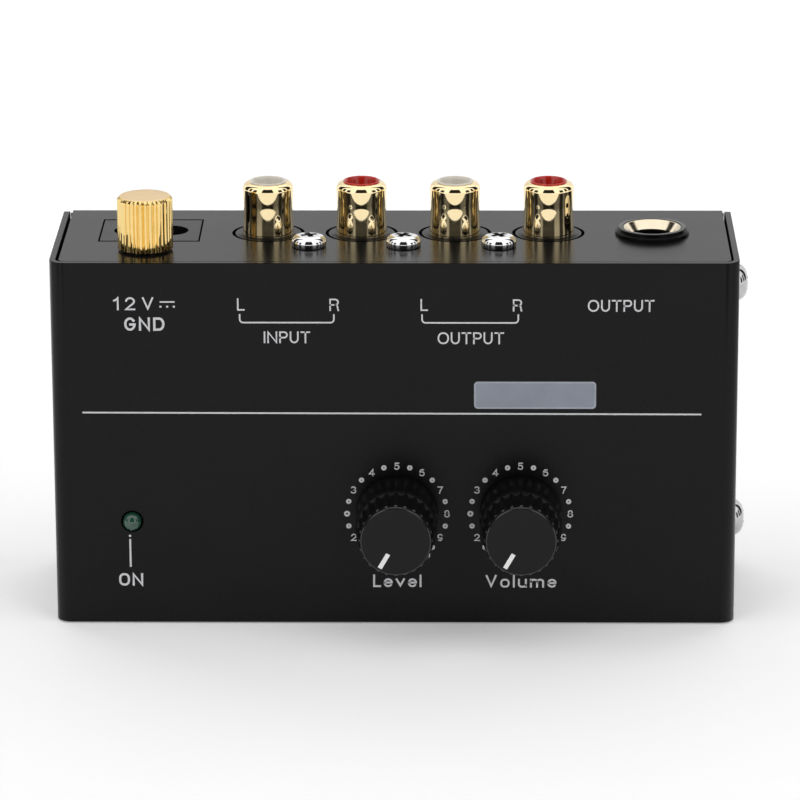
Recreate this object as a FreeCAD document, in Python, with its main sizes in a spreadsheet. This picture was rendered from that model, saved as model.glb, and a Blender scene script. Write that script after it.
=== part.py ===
import FreeCAD, Part
import Sketcher
import math
import os
from FreeCAD import Vector, Placement, Rotation

# Small desk preamplifier for a record player, standing on its lower edge with the
# connector panel up (+Z) and the control face towards -Y.
# Origin: centre of the underside. X runs to the right seen from the control face.

doc = FreeCAD.newDocument("PhonoPreamp")
sheet = doc.addObject("Spreadsheet::Sheet", "Dims")


# ---------------------------------------------------------------- expressions
class E:
    """A sheet expression together with its present value."""

    def __init__(self, text, value):
        self.t = text
        self.v = float(value)

    def __add__(self, o):
        return E("(%s + %s)" % (self.t, txt(o)), self.v + num(o))

    def __radd__(self, o):
        return E("(%s + %s)" % (txt(o), self.t), num(o) + self.v)

    def __sub__(self, o):
        return E("(%s - %s)" % (self.t, txt(o)), self.v - num(o))

    def __rsub__(self, o):
        return E("(%s - %s)" % (txt(o), self.t), num(o) - self.v)

    def __mul__(self, o):
        return E("(%s * %s)" % (self.t, txt(o)), self.v * num(o))

    def __rmul__(self, o):
        return E("(%s * %s)" % (txt(o), self.t), num(o) * self.v)

    def __truediv__(self, o):
        return E("(%s / %s)" % (self.t, txt(o)), self.v / num(o))

    def __neg__(self):
        return E("(0 - %s)" % self.t, -self.v)


def num(x):
    return x.v if isinstance(x, E) else float(x)


def txt(x):
    return x.t if isinstance(x, E) else repr(float(x))


ROW = [1]


def dim(alias, value, note):
    n = ROW[0]
    ROW[0] += 1
    sheet.set("A%d" % n, alias)
    sheet.set("B%d" % n, repr(float(value)))
    sheet.setAlias("B%d" % n, alias)
    sheet.set("C%d" % n, note)
    return E("Dims." + alias, value)


def bind(obj, prop, x):
    if isinstance(x, E):
        obj.setExpression(prop, x.t)
    else:
        setattr(obj, prop, x)


# ---------------------------------------------------------------- driving sizes
W = dim("case_width", 110.0, "outside width of the cover")
H = dim("case_height", 60.4, "height of cover and chassis")
DEP = dim("case_depth", 34.3, "control face to outer face of the back plate")
SIDE = dim("side_depth", 33.4, "depth of the side walls")
FY = dim("front_y", -17.15, "Y of the control face")
TS = dim("sheet_thickness", 1.0, "cover and chassis sheet")
RB = dim("cover_bend", 2.4, "outer bend radius of the cover")
RC = dim("chassis_bend", 1.5, "outer bend radius of the chassis")
GL = dim("panel_gap_left", 0.5, "chassis to left wall")
GR = dim("panel_gap_right", 0.35, "chassis to right wall")
GF = dim("panel_gap_front", 0.08, "chassis edge to inside of control face")

PX = [dim("phono_x_one", -20.67, "input left"), dim("phono_x_two", -5.52, "input right"),
      dim("phono_x_three", 9.63, "output left"), dim("phono_x_four", 24.78, "output right")]
PY = dim("phono_depth", 18.82, "socket row behind the control face")
SX = [dim("panel_screw_x_one", -13.82, "screw"), dim("panel_screw_x_two", 1.38, "screw"),
      dim("panel_screw_x_three", 16.70, "screw")]
SY = dim("panel_screw_depth", 10.4, "screw row behind the control face")
SHR = dim("shell_radius", 4.13, "socket shell outside radius")
SHH = dim("shell_height", 8.6, "socket shell above the panel")
SHD = dim("shell_buried", 10.0, "socket shell below the panel")
SHI = dim("shell_inner", 3.05, "inside radius of the shell")
PIN = dim("centre_bore", 1.65, "bore for the centre pin of a phono plug")

JX = dim("jack_x", 41.6, "large jack")
JY = dim("jack_depth", 18.6, "large jack behind the control face")
JR = dim("jack_bore", 3.3, "bore radius for a 6.35 plug")
JT = dim("jack_thread", 4.6, "outside radius of the jack bushing")
NR = dim("jack_nut_radius", 6.08, "ring nut radius at the panel")
NT = dim("jack_nut_top", 5.5, "ring nut radius at its top")
NH = dim("jack_nut_height", 1.2, "ring nut height")

DX = dim("power_x", -39.8, "power socket centre")
DY = dim("power_depth", 20.15, "power socket behind the control face")
DW = dim("power_width", 15.9, "power socket housing")
DD = dim("power_length", 12.9, "power socket housing")
DH = dim("power_height", 14.0, "power socket housing")
DS = dim("power_slot", 12.1, "recess length")
DT = dim("power_slot_width", 6.2, "recess width")
DR = dim("power_bore", 2.95, "bore radius for a 5.5 barrel plug")

GX = dim("ground_x", -40.0, "ground terminal")
GY = dim("ground_depth", 8.5, "ground terminal behind the control face")
GS = dim("ground_stud", 1.95, "stud radius")
GN = dim("ground_nut", 4.45, "thumb nut radius")
GH = dim("ground_nut_height", 8.7, "thumb nut height")
GW = dim("ground_washer", 0.2, "washer thickness")

LX = dim("level_x", 0.35, "level control")
VX = dim("volume_x", 20.25, "volume control")
KZ = dim("control_z", 18.55, "height of both controls")
KB = dim("knob_base", 6.6, "knob radius at its base")
KS = dim("knob_skirt", 7.4, "height of the skirt")
KT = dim("knob_top", 5.95, "grip radius near the face")
KF = dim("knob_face", 5.5, "flat face radius")
KH = dim("knob_height", 13.7, "knob height")
KG = dim("knob_gap", 0.5, "knob to control face")
KP = dim("pointer_start", 2.4, "pointer, nearest the axis")
KQ = dim("pointer_end", 5.12, "pointer, farthest from the axis")
KW = dim("pointer_width", 0.7, "pointer width")
KD = dim("pointer_depth", 0.35, "pointer inlay depth")
NF = 24
AR = dim("shaft_radius", 3.0, "control shaft")
AC = dim("running_clearance", 0.05, "shaft to bushing")

EX = dim("lamp_x", -42.4, "lamp")
EZ = dim("lamp_z", 17.2, "lamp height")
ER = dim("lamp_radius", 1.52, "lamp radius")

BF = dim("board_depth", 26.6, "component face of the board behind the control face")
BT = dim("board_thickness", 1.6, "board")
BW = dim("board_half_width", 50.5, "board")
BL = dim("board_low", 3.0, "board lower edge")
BH = dim("board_high", 58.8, "board upper edge")

CX = dim("side_screw_depth", 24.0, "side screws behind the control face")
CL = dim("side_screw_low", 10.2, "lower side screw")
CH = dim("side_screw_high", 50.7, "upper side screw")
CR = dim("side_screw_head", 3.1, "side screw head radius")
CK = dim("side_screw_height", 2.6, "side screw head height")
QR = dim("panel_screw_head", 2.8, "panel screw head radius")
QK = dim("panel_screw_height", 2.0, "panel screw head height")
FR = dim("foot_radius", 4.5, "rubber foot radius")
FH = dim("foot_height", 1.8, "rubber foot height")
doc.recompute()

LIMIT = []


def fy(v):
    """Y of a depth measured from the control face."""
    return FY + v


# ---------------------------------------------------------------- builders
def plane(body, role):
    for f in body.Origin.OriginFeatures:
        if f.Role == role:
            return f
    raise RuntimeError("no plane " + role)


def new_body(name):
    return doc.addObject("PartDesign::Body", name)


def sketch(body, name, role, off=0.0):
    sk = body.newObject("Sketcher::SketchObject", name)
    sk.AttachmentSupport = [(plane(body, role), "")]
    sk.MapMode = "FlatFace"
    sk.AttachmentOffset = Placement(Vector(0, 0, num(off)), Rotation())
    if isinstance(off, E):
        sk.setExpression("AttachmentOffset.Base.z", off.t)
    return sk


def datum(sk, kind, args, value):
    """One sketch dimension, bound to the sheet when it is an expression."""
    v = num(value)
    i = sk.addConstraint(Sketcher.Constraint(kind, *(list(args) + [v])))
    if isinstance(value, E):
        nm = "c%d" % i
        sk.renameConstraint(i, nm)
        sk.setExpression("Constraints." + nm, value.t)


def pin_point(sk, geo, pos, x, y):
    if not isinstance(x, E) and abs(x) < 1e-9:
        sk.addConstraint(Sketcher.Constraint("PointOnObject", geo, pos, -2))
    else:
        datum(sk, "DistanceX", (-1, 1, geo, pos), x)
    if not isinstance(y, E) and abs(y) < 1e-9:
        sk.addConstraint(Sketcher.Constraint("PointOnObject", geo, pos, -1))
    else:
        datum(sk, "DistanceY", (-1, 1, geo, pos), y)


def poly(sk, pts):
    n = len(pts)
    first = sk.GeometryCount
    for i in range(n):
        a = pts[i]
        b = pts[(i + 1) % n]
        sk.addGeometry(Part.LineSegment(Vector(num(a[0]), num(a[1]), 0),
                                        Vector(num(b[0]), num(b[1]), 0)), False)
    for i in range(n):
        sk.addConstraint(Sketcher.Constraint("Coincident", first + i, 2, first + (i + 1) % n, 1))
    for i in range(n):
        pin_point(sk, first + i, 1, pts[i][0], pts[i][1])


def rect(sk, x0, y0, x1, y1):
    poly(sk, [(x0, y0), (x1, y0), (x1, y1), (x0, y1)])


def circle(sk, x, y, r):
    g = sk.addGeometry(Part.Circle(Vector(num(x), num(y), 0), Vector(0, 0, 1), num(r)), False)
    datum(sk, "Radius", (g,), r)
    pin_point(sk, g, 3, x, y)


def pad(body, sk, name, length, back=None, sym=False, rev=False):
    p = body.newObject("PartDesign::Pad", name)
    p.Profile = sk
    p.Type = "Length"
    if back is not None:
        p.SideType = "Two sides"
        p.Type2 = "Length"
        bind(p, "Length2", back)
    elif sym:
        p.SideType = "Symmetric"
    bind(p, "Length", length)
    p.Reversed = rev
    sk.Visibility = False
    return p


def pocket(body, sk, name, length, rev=False):
    """Cuts towards the sketch's negative normal, or its positive one when rev is set."""
    doc.recompute()
    before = body.Shape.Volume
    p = body.newObject("PartDesign::Pocket", name)
    p.Profile = sk
    p.Type = "Length"
    bind(p, "Length", length)
    p.Reversed = rev
    doc.recompute()
    if not body.Shape.Volume < before - 1e-6:
        raise RuntimeError("pocket %s of %s cut nothing" % (name, body.Name))
    return p


def polar(body, feature, sk, count):
    doc.recompute()
    before = body.Shape.Volume
    p = body.newObject("PartDesign::PolarPattern", "Pattern")
    p.Originals = [feature]
    p.Axis = (sk, ["N_Axis"])
    p.Angle = 360
    p.Occurrences = count
    body.Tip = p
    doc.recompute()
    if not body.Shape.Volume < before - 1e-6:
        raise RuntimeError("pattern of %s cut nothing" % body.Name)
    return p


def edges(shape, test):
    return ["Edge%d" % (i + 1) for i, e in enumerate(shape.Edges) if test(e)]


def fillet(body, names, radius, name="Fillet"):
    if not names:
        raise RuntimeError("no edge to round on " + body.Name)
    base = body.Tip
    f = body.newObject("PartDesign::Fillet", name)
    f.Base = (base, names)
    bind(f, "Radius", radius)
    doc.recompute()
    return f


def chamfer(body, names, size, name="Chamfer"):
    if not names:
        raise RuntimeError("no edge to bevel on " + body.Name)
    base = body.Tip
    f = body.newObject("PartDesign::Chamfer", name)
    f.Base = (base, names)
    bind(f, "Size", size)
    doc.recompute()
    return f


def along(e, axis):
    """Straight edge parallel to one axis."""
    if len(e.Vertexes) != 2 or e.Curve.TypeId != "Part::GeomLine":
        return False
    d = e.Vertexes[1].Point - e.Vertexes[0].Point
    a = [abs(d.x), abs(d.y), abs(d.z)]
    i = "XYZ".index(axis)
    return a[i] > 1e-6 and sum(a) - a[i] < 1e-6


def mid(e):
    b = e.BoundBox
    return Vector((b.XMin + b.XMax) / 2, (b.YMin + b.YMax) / 2, (b.ZMin + b.ZMax) / 2)


def near(a, b, tol=1e-3):
    return abs(a - b) < tol


def place(obj, x=0.0, y=0.0, z=0.0, rot=None):
    obj.Placement = Placement(Vector(num(x), num(y), num(z)), rot if rot else Rotation())
    for k, v in (("x", x), ("y", y), ("z", z)):
        if isinstance(v, E):
            obj.setExpression("Placement.Base." + k, v.t)
    return obj


def turned(name, pts):
    """Body of revolution about its own Z axis from a (radius, height) profile."""
    body = new_body(name)
    sk = sketch(body, "Profile", "XZ_Plane")
    poly(sk, pts)
    r = body.newObject("PartDesign::Revolution", "Turn")
    r.Profile = sk
    r.ReferenceAxis = (sk, ["V_Axis"])
    r.Angle = 360
    doc.recompute()
    return body


def ring_edges(body, z, r):
    """Circular edges at one height and radius of a turned body."""
    out = []
    for i, e in enumerate(body.Tip.Shape.Edges):
        c = e.Curve
        if c.TypeId == "Part::GeomCircle" and near(c.Radius, r, 5e-3) and near(c.Center.z, z, 5e-3):
            out.append("Edge%d" % (i + 1))
    return out


def cross(sk, arm, wid):
    a, w = arm, wid
    poly(sk, [(w, w), (a, w), (a, -w), (w, -w), (w, -a), (-w, -a), (-w, -w), (-a, -w),
              (-a, w), (-w, w), (-w, a), (w, a)])


def screw(name, head_r, head_h, shank_r, shank_l, dome, arm):
    body = turned(name, [(0, -shank_l), (shank_r, -shank_l), (shank_r, 0.0), (head_r, 0.0),
                         (head_r, head_h), (0, head_h)])
    fillet(body, ring_edges(body, num(head_h), num(head_r)), dome)
    sk = sketch(body, "Recess", "XY_Plane", head_h)
    cross(sk, arm, 0.42)
    pocket(body, sk, "Drive", 1.3)
    return body


def box(name, x0, y0, z0, x1, y1, z1):
    b = doc.addObject("Part::Box", name)
    bind(b, "Length", x1 - x0)
    bind(b, "Width", y1 - y0)
    bind(b, "Height", z1 - z0)
    place(b, x0, y0, z0)
    return b


def cyl(name, r, h, x, y, z, rot=None):
    c = doc.addObject("Part::Cylinder", name)
    bind(c, "Radius", r)
    bind(c, "Height", h)
    place(c, x, y, z, rot)
    return c


def cut(name, base, tool):
    c = doc.addObject("Part::Cut", name)
    c.Base = base
    c.Tool = tool
    return c


def fuse(name, parts):
    if len(parts) == 1:
        return parts[0]
    c = doc.addObject("Part::MultiFuse", name)
    c.Shapes = parts
    return c


def group(name, parts):
    c = doc.addObject("Part::Compound", name)
    c.Links = parts
    return c


OUT = []


def keep(obj, label, count=1):
    """Names a finished piece; count is how many solids it must hold."""
    obj.Label = label
    OUT.append((label, obj, count))
    return obj


TO_FRONT = Rotation(Vector(1, 0, 0), 90)     # own Z towards -Y
TO_RIGHT = Rotation(Vector(0, 1, 0), 90)     # own Z towards +X
TO_BACK = Rotation(Vector(1, 0, 0), -90)     # own Z towards +Y

# ================================================================ housing
# Front cover: one sheet bent into a U, control face with both side walls.
cover = new_body("FrontCover")
sk = sketch(cover, "Outline", "XY_Plane")
poly(sk, [(-W / 2, fy(SIDE)), (-W / 2, FY), (W / 2, FY), (W / 2, fy(SIDE)),
          (W / 2 - TS, fy(SIDE)), (W / 2 - TS, FY + TS), (-W / 2 + TS, FY + TS), (-W / 2 + TS, fy(SIDE))])
pad(cover, sk, "Sheet", H)
doc.recompute()
fillet(cover, edges(cover.Tip.Shape, lambda e: along(e, "Z") and near(mid(e).y, num(FY))), RB, "OuterBend")
fillet(cover, edges(cover.Tip.Shape, lambda e: along(e, "Z") and near(mid(e).y, num(FY + TS))), RB - TS, "InnerBend")
fillet(cover, edges(cover.Tip.Shape, lambda e: along(e, "X") and near(mid(e).y, num(fy(SIDE)))
                    and near(abs(mid(e).x), num(W / 2 - TS / 2))), 1.3, "RearCorners")
sk = sketch(cover, "FrontHoles", "XZ_Plane", -FY + 0.5)
circle(sk, LX, KZ, AR + 0.7)
circle(sk, VX, KZ, AR + 0.7)
circle(sk, EX, EZ, ER + 0.23)
pocket(cover, sk, "FrontDrill", TS + 1.0)
sk = sketch(cover, "RightHoles", "YZ_Plane", W / 2 + 0.5)
circle(sk, fy(CX), CL, 1.6)
circle(sk, fy(CX), CH, 1.6)
pocket(cover, sk, "RightDrill", TS + 1.0)
sk = sketch(cover, "LeftSlots", "YZ_Plane", -W / 2 - 0.5)
rect(sk, fy(CX) - 2.8, CL - 0.7, fy(CX) + 2.8, CL + 0.7)
rect(sk, fy(CX) - 2.8, CH - 0.7, fy(CX) + 2.8, CH + 0.7)
pocket(cover, sk, "LeftSlot", TS + 1.0, rev=True)
keep(cover, "front_cover")

# Rear chassis: connector panel, back plate and bottom panel bent from one sheet,
# with two tapped ears on the right and two hooked ears on the left.
ch = new_body("RearChassis")
sk = sketch(ch, "Outline", "YZ_Plane")
y0 = FY + TS + GF
poly(sk, [(y0, 0.0), (fy(DEP), 0.0), (fy(DEP), H), (y0, H), (y0, H - TS), (fy(DEP) - TS, H - TS),
          (fy(DEP) - TS, TS), (y0, TS)])
pad(ch, sk, "Sheet", W / 2 - TS - GR, back=W / 2 - TS - GL)
doc.recompute()
fillet(ch, edges(ch.Tip.Shape, lambda e: along(e, "X") and near(mid(e).y, num(fy(DEP)))), RC, "OuterBend")
fillet(ch, edges(ch.Tip.Shape, lambda e: along(e, "X") and near(mid(e).y, num(fy(DEP) - TS))), RC - TS, "InnerBend")
fillet(ch, edges(ch.Tip.Shape, lambda e: along(e, "Z") and near(mid(e).y, num(y0))), 1.2, "PanelCorners")
# The back plate is a little wider than the panel, so that it closes the gap to the walls.
for side, x_in, wide in (("Right", W / 2 - TS - GR, GR - 0.05), ("Left", -W / 2 + TS + 0.05, GL - 0.05)):
    sk = sketch(ch, side + "LipShape", "YZ_Plane", x_in)
    rect(sk, fy(DEP) - TS, 0.6, fy(DEP) - 0.5, H - 0.6)
    pad(ch, sk, side + "Lip", wide)
    doc.recompute()
for side, x_in in (("Right", W / 2 - TS - GR - TS), ("Left", -W / 2 + TS + GL)):
    sk = sketch(ch, side + "EarShape", "YZ_Plane", x_in)
    rect(sk, fy(CX) - 5.0, CL - 5.5, fy(DEP) - TS / 2, CL + 5.5)
    rect(sk, fy(CX) - 5.0, CH - 5.5, fy(DEP) - TS / 2, CH + 5.5)
    pad(ch, sk, side + "Ears", TS)
    doc.recompute()
sk = sketch(ch, "TongueShape", "YZ_Plane", -W / 2 + 0.35)
rect(sk, fy(CX) - 2.5, CL - 0.5, fy(CX) + 2.5, CL + 0.5)
rect(sk, fy(CX) - 2.5, CH - 0.5, fy(CX) + 2.5, CH + 0.5)
pad(ch, sk, "Tongues", TS + GL)
doc.recompute()
sk = sketch(ch, "EarHoles", "YZ_Plane", W / 2 - TS - GR + 0.2)
circle(sk, fy(CX), CL, 1.5)
circle(sk, fy(CX), CH, 1.5)
pocket(ch, sk, "EarDrill", TS + 0.4)
sk = sketch(ch, "PanelHoles", "XY_Plane", H + 0.5)
for x in PX:
    circle(sk, x, fy(PY), 5.9)
for x in SX:
    circle(sk, x, fy(SY), 1.7)
circle(sk, JX, fy(JY), JT + 0.15)
circle(sk, GX, fy(GY), GS + 0.2)
rect(sk, DX - DW / 2 - 0.28, fy(DY) - DD / 2 - 0.55, DX + DW / 2 + 0.28, fy(DY) + DD / 2 + 0.55)
pocket(ch, sk, "PanelCut", TS + 1.0)
POSTS = [(-46.0, 7.0), (46.0, 7.0), (-47.0, 40.0), (46.5, 24.0)]
sk = sketch(ch, "BackHoles", "XZ_Plane", -fy(DEP) - 0.5)
for x, z in POSTS:
    circle(sk, x, z, 2.12)
pocket(ch, sk, "BackDrill", TS + 1.0, rev=True)
keep(ch, "rear_chassis")

# Two domed cross-head screws in the right wall.
ss = []
for i, z in enumerate((CL, CH)):
    b = screw("SideScrew%d" % i, CR, CK, 1.46, 4.4, 1.7, 1.75)
    ss.append(place(b, W / 2, fy(CX), z, TO_RIGHT))
keep(group("SideScrews", ss), "side_screws", 2)

# Four low rubber feet on the back plate.
ft = []
for i, (x, z) in enumerate(((-44.0, 8.0), (44.0, 8.0), (-44.0, 52.0), (44.0, 52.0))):
    b = turned("Foot%d" % i, [(0, 0.0), (FR, 0.0), (FR, FH), (0, FH)])
    fillet(b, ring_edges(b, num(FH), num(FR)), 0.6)
    ft.append(place(b, x, fy(DEP), z, TO_BACK))
keep(group("RubberFeet", ft), "rubber_feet", 4)

# Pressed-in spacers between board and back plate, with the board screws.
so = []
bs = []
for i, (x, z) in enumerate(POSTS):
    b = turned("Post%d" % i, [(1.3, 0.0), (2.75, 0.0), (2.75, DEP - TS - BF - BT), (2.1, DEP - TS - BF - BT),
                              (2.1, DEP - BF - BT), (1.3, DEP - BF - BT)])
    so.append(place(b, x, fy(BF) + BT, z, TO_BACK))
    b = screw("BoardScrew%d" % i, 2.75, 2.0, 1.25, 5.5, 0.9, 1.4)
    bs.append(place(b, x, fy(BF), z, TO_FRONT))
keep(group("BoardPosts", so), "board_standoffs", 4)
keep(group("BoardScrews", bs), "board_screws", 4)

# ================================================================ phono sockets
NAMES = ["input_left", "input_right", "output_left", "output_right"]
x0, x1 = PX[0] - 7.2, PX[3] + 7.2
zt = H - TS - 0.05
blk = [box("BlockMain", x0, fy(SY) - 5.1, H - 15.0, x1, fy(BF), zt)]
tool = []
for i, x in enumerate(PX):
    blk.append(cyl("BlockCollar%d" % i, 5.35, TS + 0.1, x, fy(PY), zt - 0.05))
    blk.append(cyl("BlockStep%d" % i, 4.86, 0.13, x, fy(PY), H - 0.05))
    blk.append(cyl("BlockRise%d" % i, 4.46, 0.21, x, fy(PY), H - 0.05))
    tool.append(cyl("BlockSeat%d" % i, SHR + 0.02, 1.0, x, fy(PY), H))
    tool.append(cyl("BlockBore%d" % i, SHR - 0.2, SHD + 1.0, x, fy(PY), H - SHD))
    tool.append(cyl("BlockPin%d" % i, 0.5, 10.0, x, fy(PY), H - 16.0))
    tool.append(cyl("BlockTail%d" % i, 0.5, 10.0, x + 3.45, fy(PY), H - 16.0))
for i, x in enumerate(SX):
    tool.append(cyl("BlockScrew%d" % i, 1.5, 11.0, x, fy(SY), H - 10.5))
keep(cut("PhonoBlock", fuse("BlockSolid", blk), fuse("BlockTools", tool)), "phono_socket_block")

cc = []
gt = []
for i, x in enumerate(PX):
    # Shell: straight at the foot, wall drawn in slightly halfway up, rounded over at the mouth, inside straight.
    b = turned("Shell%d" % i, [
        (SHI, -SHD), (SHR - 0.22, -SHD), (SHR - 0.22, 0.0), (SHR, 0.0), (SHR, 2.5), (SHR - 0.12, 4.4),
        (SHR - 0.12, 5.2), (SHR - 0.05, 7.7), (SHR - 0.10, 8.0), (SHR - 0.26, 8.34), (SHR - 0.50, 8.53),
        (SHR - 0.80, SHH), (SHI, SHH)])
    keep(place(b, x, fy(PY), H), NAMES[i] + "_shell")
    # Insert: flared mouth down to the bore for the plug's centre pin.
    b = turned("Insert%d" % i, [
        (2.05, -SHD), (SHI, -SHD), (SHI, SHH - 0.2), (SHI - 0.1, SHH + 0.16), (SHI - 0.22, SHH + 0.24),
        (SHI - 0.42, SHH + 0.08), (2.1, SHH - 1.9), (PIN, SHH - 3.2), (PIN, -1.0), (2.05, -1.0)])
    keep(place(b, x, fy(PY), H), NAMES[i] + "_insert")
    # Centre contact: sprung sleeve, pin and strip to the board.
    b = turned("Sleeve%d" % i, [(PIN, -1.05), (PIN, -8.6), (0, -8.6), (0, -9.6), (2.0, -9.6), (2.0, -1.05)])
    place(b, x, fy(PY), H)
    p = cyl("SleevePin%d" % i, 0.48, 7.0, x, fy(PY), H - 16.5)
    q = box("SleeveStrip%d" % i, x - 0.48, fy(PY) - 0.48, H - 16.5, x + 0.48, fy(BF), H - 15.9)
    cc.append(fuse("Contact%d" % i, [b, p, q]))
    p = cyl("TailPin%d" % i, 0.42, 6.5, x + 3.45, fy(PY), H - 16.5)
    q = box("TailStrip%d" % i, x + 3.03, fy(PY) - 0.42, H - 16.5, x + 3.87, fy(BF), H - 15.9)
    gt.append(fuse("GroundTail%d" % i, [p, q]))
keep(group("CentreContacts", cc), "phono_centre_contacts", 4)
keep(group("GroundTails", gt), "phono_ground_tails", 4)

ps = []
for i, x in enumerate(SX):
    b = screw("PanelScrew%d" % i, QR, QK, 1.46, 9.5, 1.1, 1.35)
    ps.append(place(b, x, fy(SY), H))
keep(group("PanelScrews", ps), "panel_screws", 3)

# ================================================================ large jack
jb = box("JackMain", JX - 8.0, fy(JY) - 7.8, H - 30.0, JX + 8.0, fy(BF), zt)
tool = [cyl("JackThreadBore", JT, 10.0, JX, fy(JY), H - 9.0),
        cyl("JackPlugBore", JR, 20.0, JX, fy(JY), H - 28.0),
        box("JackChamber", JX - 6.4, fy(JY) - 2.6, H - 27.0, JX + 6.4, fy(JY) + 2.6, H - 11.0),
        box("JackSlotA", JX + 5.0, fy(JY) - 1.7, H - 31.0, JX + 5.9, fy(JY) + 1.7, H - 26.0),
        box("JackSlotB", JX - 5.9, fy(JY) - 1.7, H - 31.0, JX - 5.0, fy(JY) + 1.7, H - 26.0)]
keep(cut("JackBody", jb, fuse("JackTools", tool)), "jack_body")
b = turned("JackBushing", [(JR, -9.0), (JT, -9.0), (JT, 0.55), (JT + 0.05, 1.0), (JT - 0.2, 1.15),
                           (JR + 0.5, 0.1), (JR, -1.4)])
keep(place(b, JX, fy(JY), H), "jack_bushing")
b = turned("JackRingNut", [(JT + 0.08, 0.0), (NR, 0.0), (NR, 0.3), (NT, NH), (JT + 0.08, NH)])
keep(place(b, JX, fy(JY), H), "jack_ring_nut")
sp = []
for i, s in enumerate((1.0, -1.0)):
    b = new_body("JackSpring%d" % i)
    sk = sketch(b, "Leaf", "XZ_Plane")
    pts = [(5.25, -31.0), (5.65, -31.0), (5.65, -22.0), (3.85, -18.5), (5.2, -13.0), (4.8, -13.0),
           (3.45, -18.6), (5.25, -22.2)]
    poly(sk, [(s * px, pz) for px, pz in pts])
    pad(b, sk, "Strip", 3.0, sym=True)
    doc.recompute()
    place(b, JX, fy(JY), H)
    q = box("JackTail%d" % i, JX + (5.25 if s > 0 else -5.65), fy(JY) - 1.5, H - 31.4,
            JX + (5.65 if s > 0 else -5.25), fy(BF), H - 30.6)
    sp.append(fuse("JackContact%d" % i, [b, q]))
keep(group("JackSprings", sp), "jack_contact_springs", 2)

# ================================================================ power socket
db = box("PowerMain", DX - DW / 2, fy(DY) - DD / 2, H - DH, DX + DW / 2, fy(DY) + DD / 2, H)
rr = DT / 2
tool = [box("PowerSlotMid", DX - DS / 2 + rr, fy(DY) - rr, H - 3.2, DX + DS / 2 - rr, fy(DY) + rr, H + 1.0),
        cyl("PowerSlotA", rr, 4.2, DX - DS / 2 + rr, fy(DY), H - 3.2),
        cyl("PowerSlotB", rr, 4.2, DX + DS / 2 - rr, fy(DY), H - 3.2),
        cyl("PowerBore", DR, 10.0, DX, fy(DY), H - 12.0),
        cyl("PowerPinHole", 1.0, 6.0, DX, fy(DY), H - 15.0)]
keep(cut("PowerHousing", db, fuse("PowerTools", tool)), "power_socket_housing")
b = turned("PowerPin", [(0, -15.0), (1.0, -15.0), (1.0, -3.6), (0.7, -3.2), (0, -3.2)])
place(b, DX, fy(DY), H)
q = box("PowerPinStrip", DX - 1.0, fy(DY) - 1.0, H - 15.6, DX + 1.0, fy(BF), H - 14.9)
keep(fuse("PowerPinPart", [b, q]), "power_centre_pin")
t1 = box("PowerLegA", DX + 4.5, fy(DY) - 1.0, H - 16.5, DX + 5.1, fy(BF), H - DH)
t2 = box("PowerLegB", DX - 5.1, fy(DY) - 1.0, H - 16.5, DX - 4.5, fy(BF), H - DH)
keep(group("PowerLegs", [t1, t2]), "power_terminals", 2)

# ================================================================ ground terminal
zs = GW + GH - 1.4
b = turned("GroundStud", [(0, -7.5), (GS, -7.5), (GS, zs - 0.3), (GS - 0.3, zs), (0, zs)])
keep(place(b, GX, fy(GY), H), "ground_stud")
b = turned("GroundLug", [(GS + 0.05, -TS - 0.8), (4.0, -TS - 0.8), (4.0, -TS), (GS + 0.05, -TS)])
place(b, GX, fy(GY), H)
q = box("LugTail", GX + 3.0, fy(GY) - 1.5, H - TS - 0.8, GX + 11.0, fy(GY) + 1.5, H - TS)
keep(fuse("LugPart", [b, q]), "ground_lug")
lock = new_body("LockNut")
sk = sketch(lock, "Hexagon", "XY_Plane", -TS - 0.8)
poly(sk, [(4.04 * math.cos(math.radians(60 * k)), 4.04 * math.sin(math.radians(60 * k))) if k % 3 else
          (4.04 * (1 if k == 0 else -1), 0.0) for k in range(6)])
circle(sk, 0.0, 0.0, GS + 0.03)
pad(lock, sk, "Nut", 3.0, rev=True)
doc.recompute()
keep(place(lock, GX, fy(GY), H), "ground_lock_nut")
# Wire: down from the lug, then back to the board in one easy bend.
wire = new_body("GroundWire")
wx = GX + 10.0
sk = sketch(wire, "Route", "YZ_Plane")
rw = 6.0
za = H - TS - 0.8
zb = 42.9
g0 = sk.addGeometry(Part.LineSegment(Vector(num(fy(GY)), num(za), 0), Vector(num(fy(GY)), zb + rw, 0)), False)
g1 = sk.addGeometry(Part.ArcOfCircle(Part.Circle(Vector(num(fy(GY)) + rw, zb + rw, 0), Vector(0, 0, 1), rw),
                                     math.pi, 1.5 * math.pi), False)
g2 = sk.addGeometry(Part.LineSegment(Vector(num(fy(GY)) + rw, zb, 0), Vector(num(fy(BF)), zb, 0)), False)
sk.addConstraint(Sketcher.Constraint("Tangent", g0, 2, g1, 1))
sk.addConstraint(Sketcher.Constraint("Tangent", g1, 2, g2, 1))
sk.addConstraint(Sketcher.Constraint("Vertical", g0))
pin_point(sk, g0, 1, fy(GY), za)
pin_point(sk, g2, 2, fy(BF), zb)
datum(sk, "Radius", (g1,), rw)
sc = sketch(wire, "Section", "XY_Plane", za)
circle(sc, 0.0, fy(GY), 0.65)
pipe = wire.newObject("PartDesign::AdditivePipe", "Sweep")
pipe.Profile = sc
pipe.Spine = sk
doc.recompute()
place(wire, wx, 0.0, 0.0)
keep(wire, "ground_wire")
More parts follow.
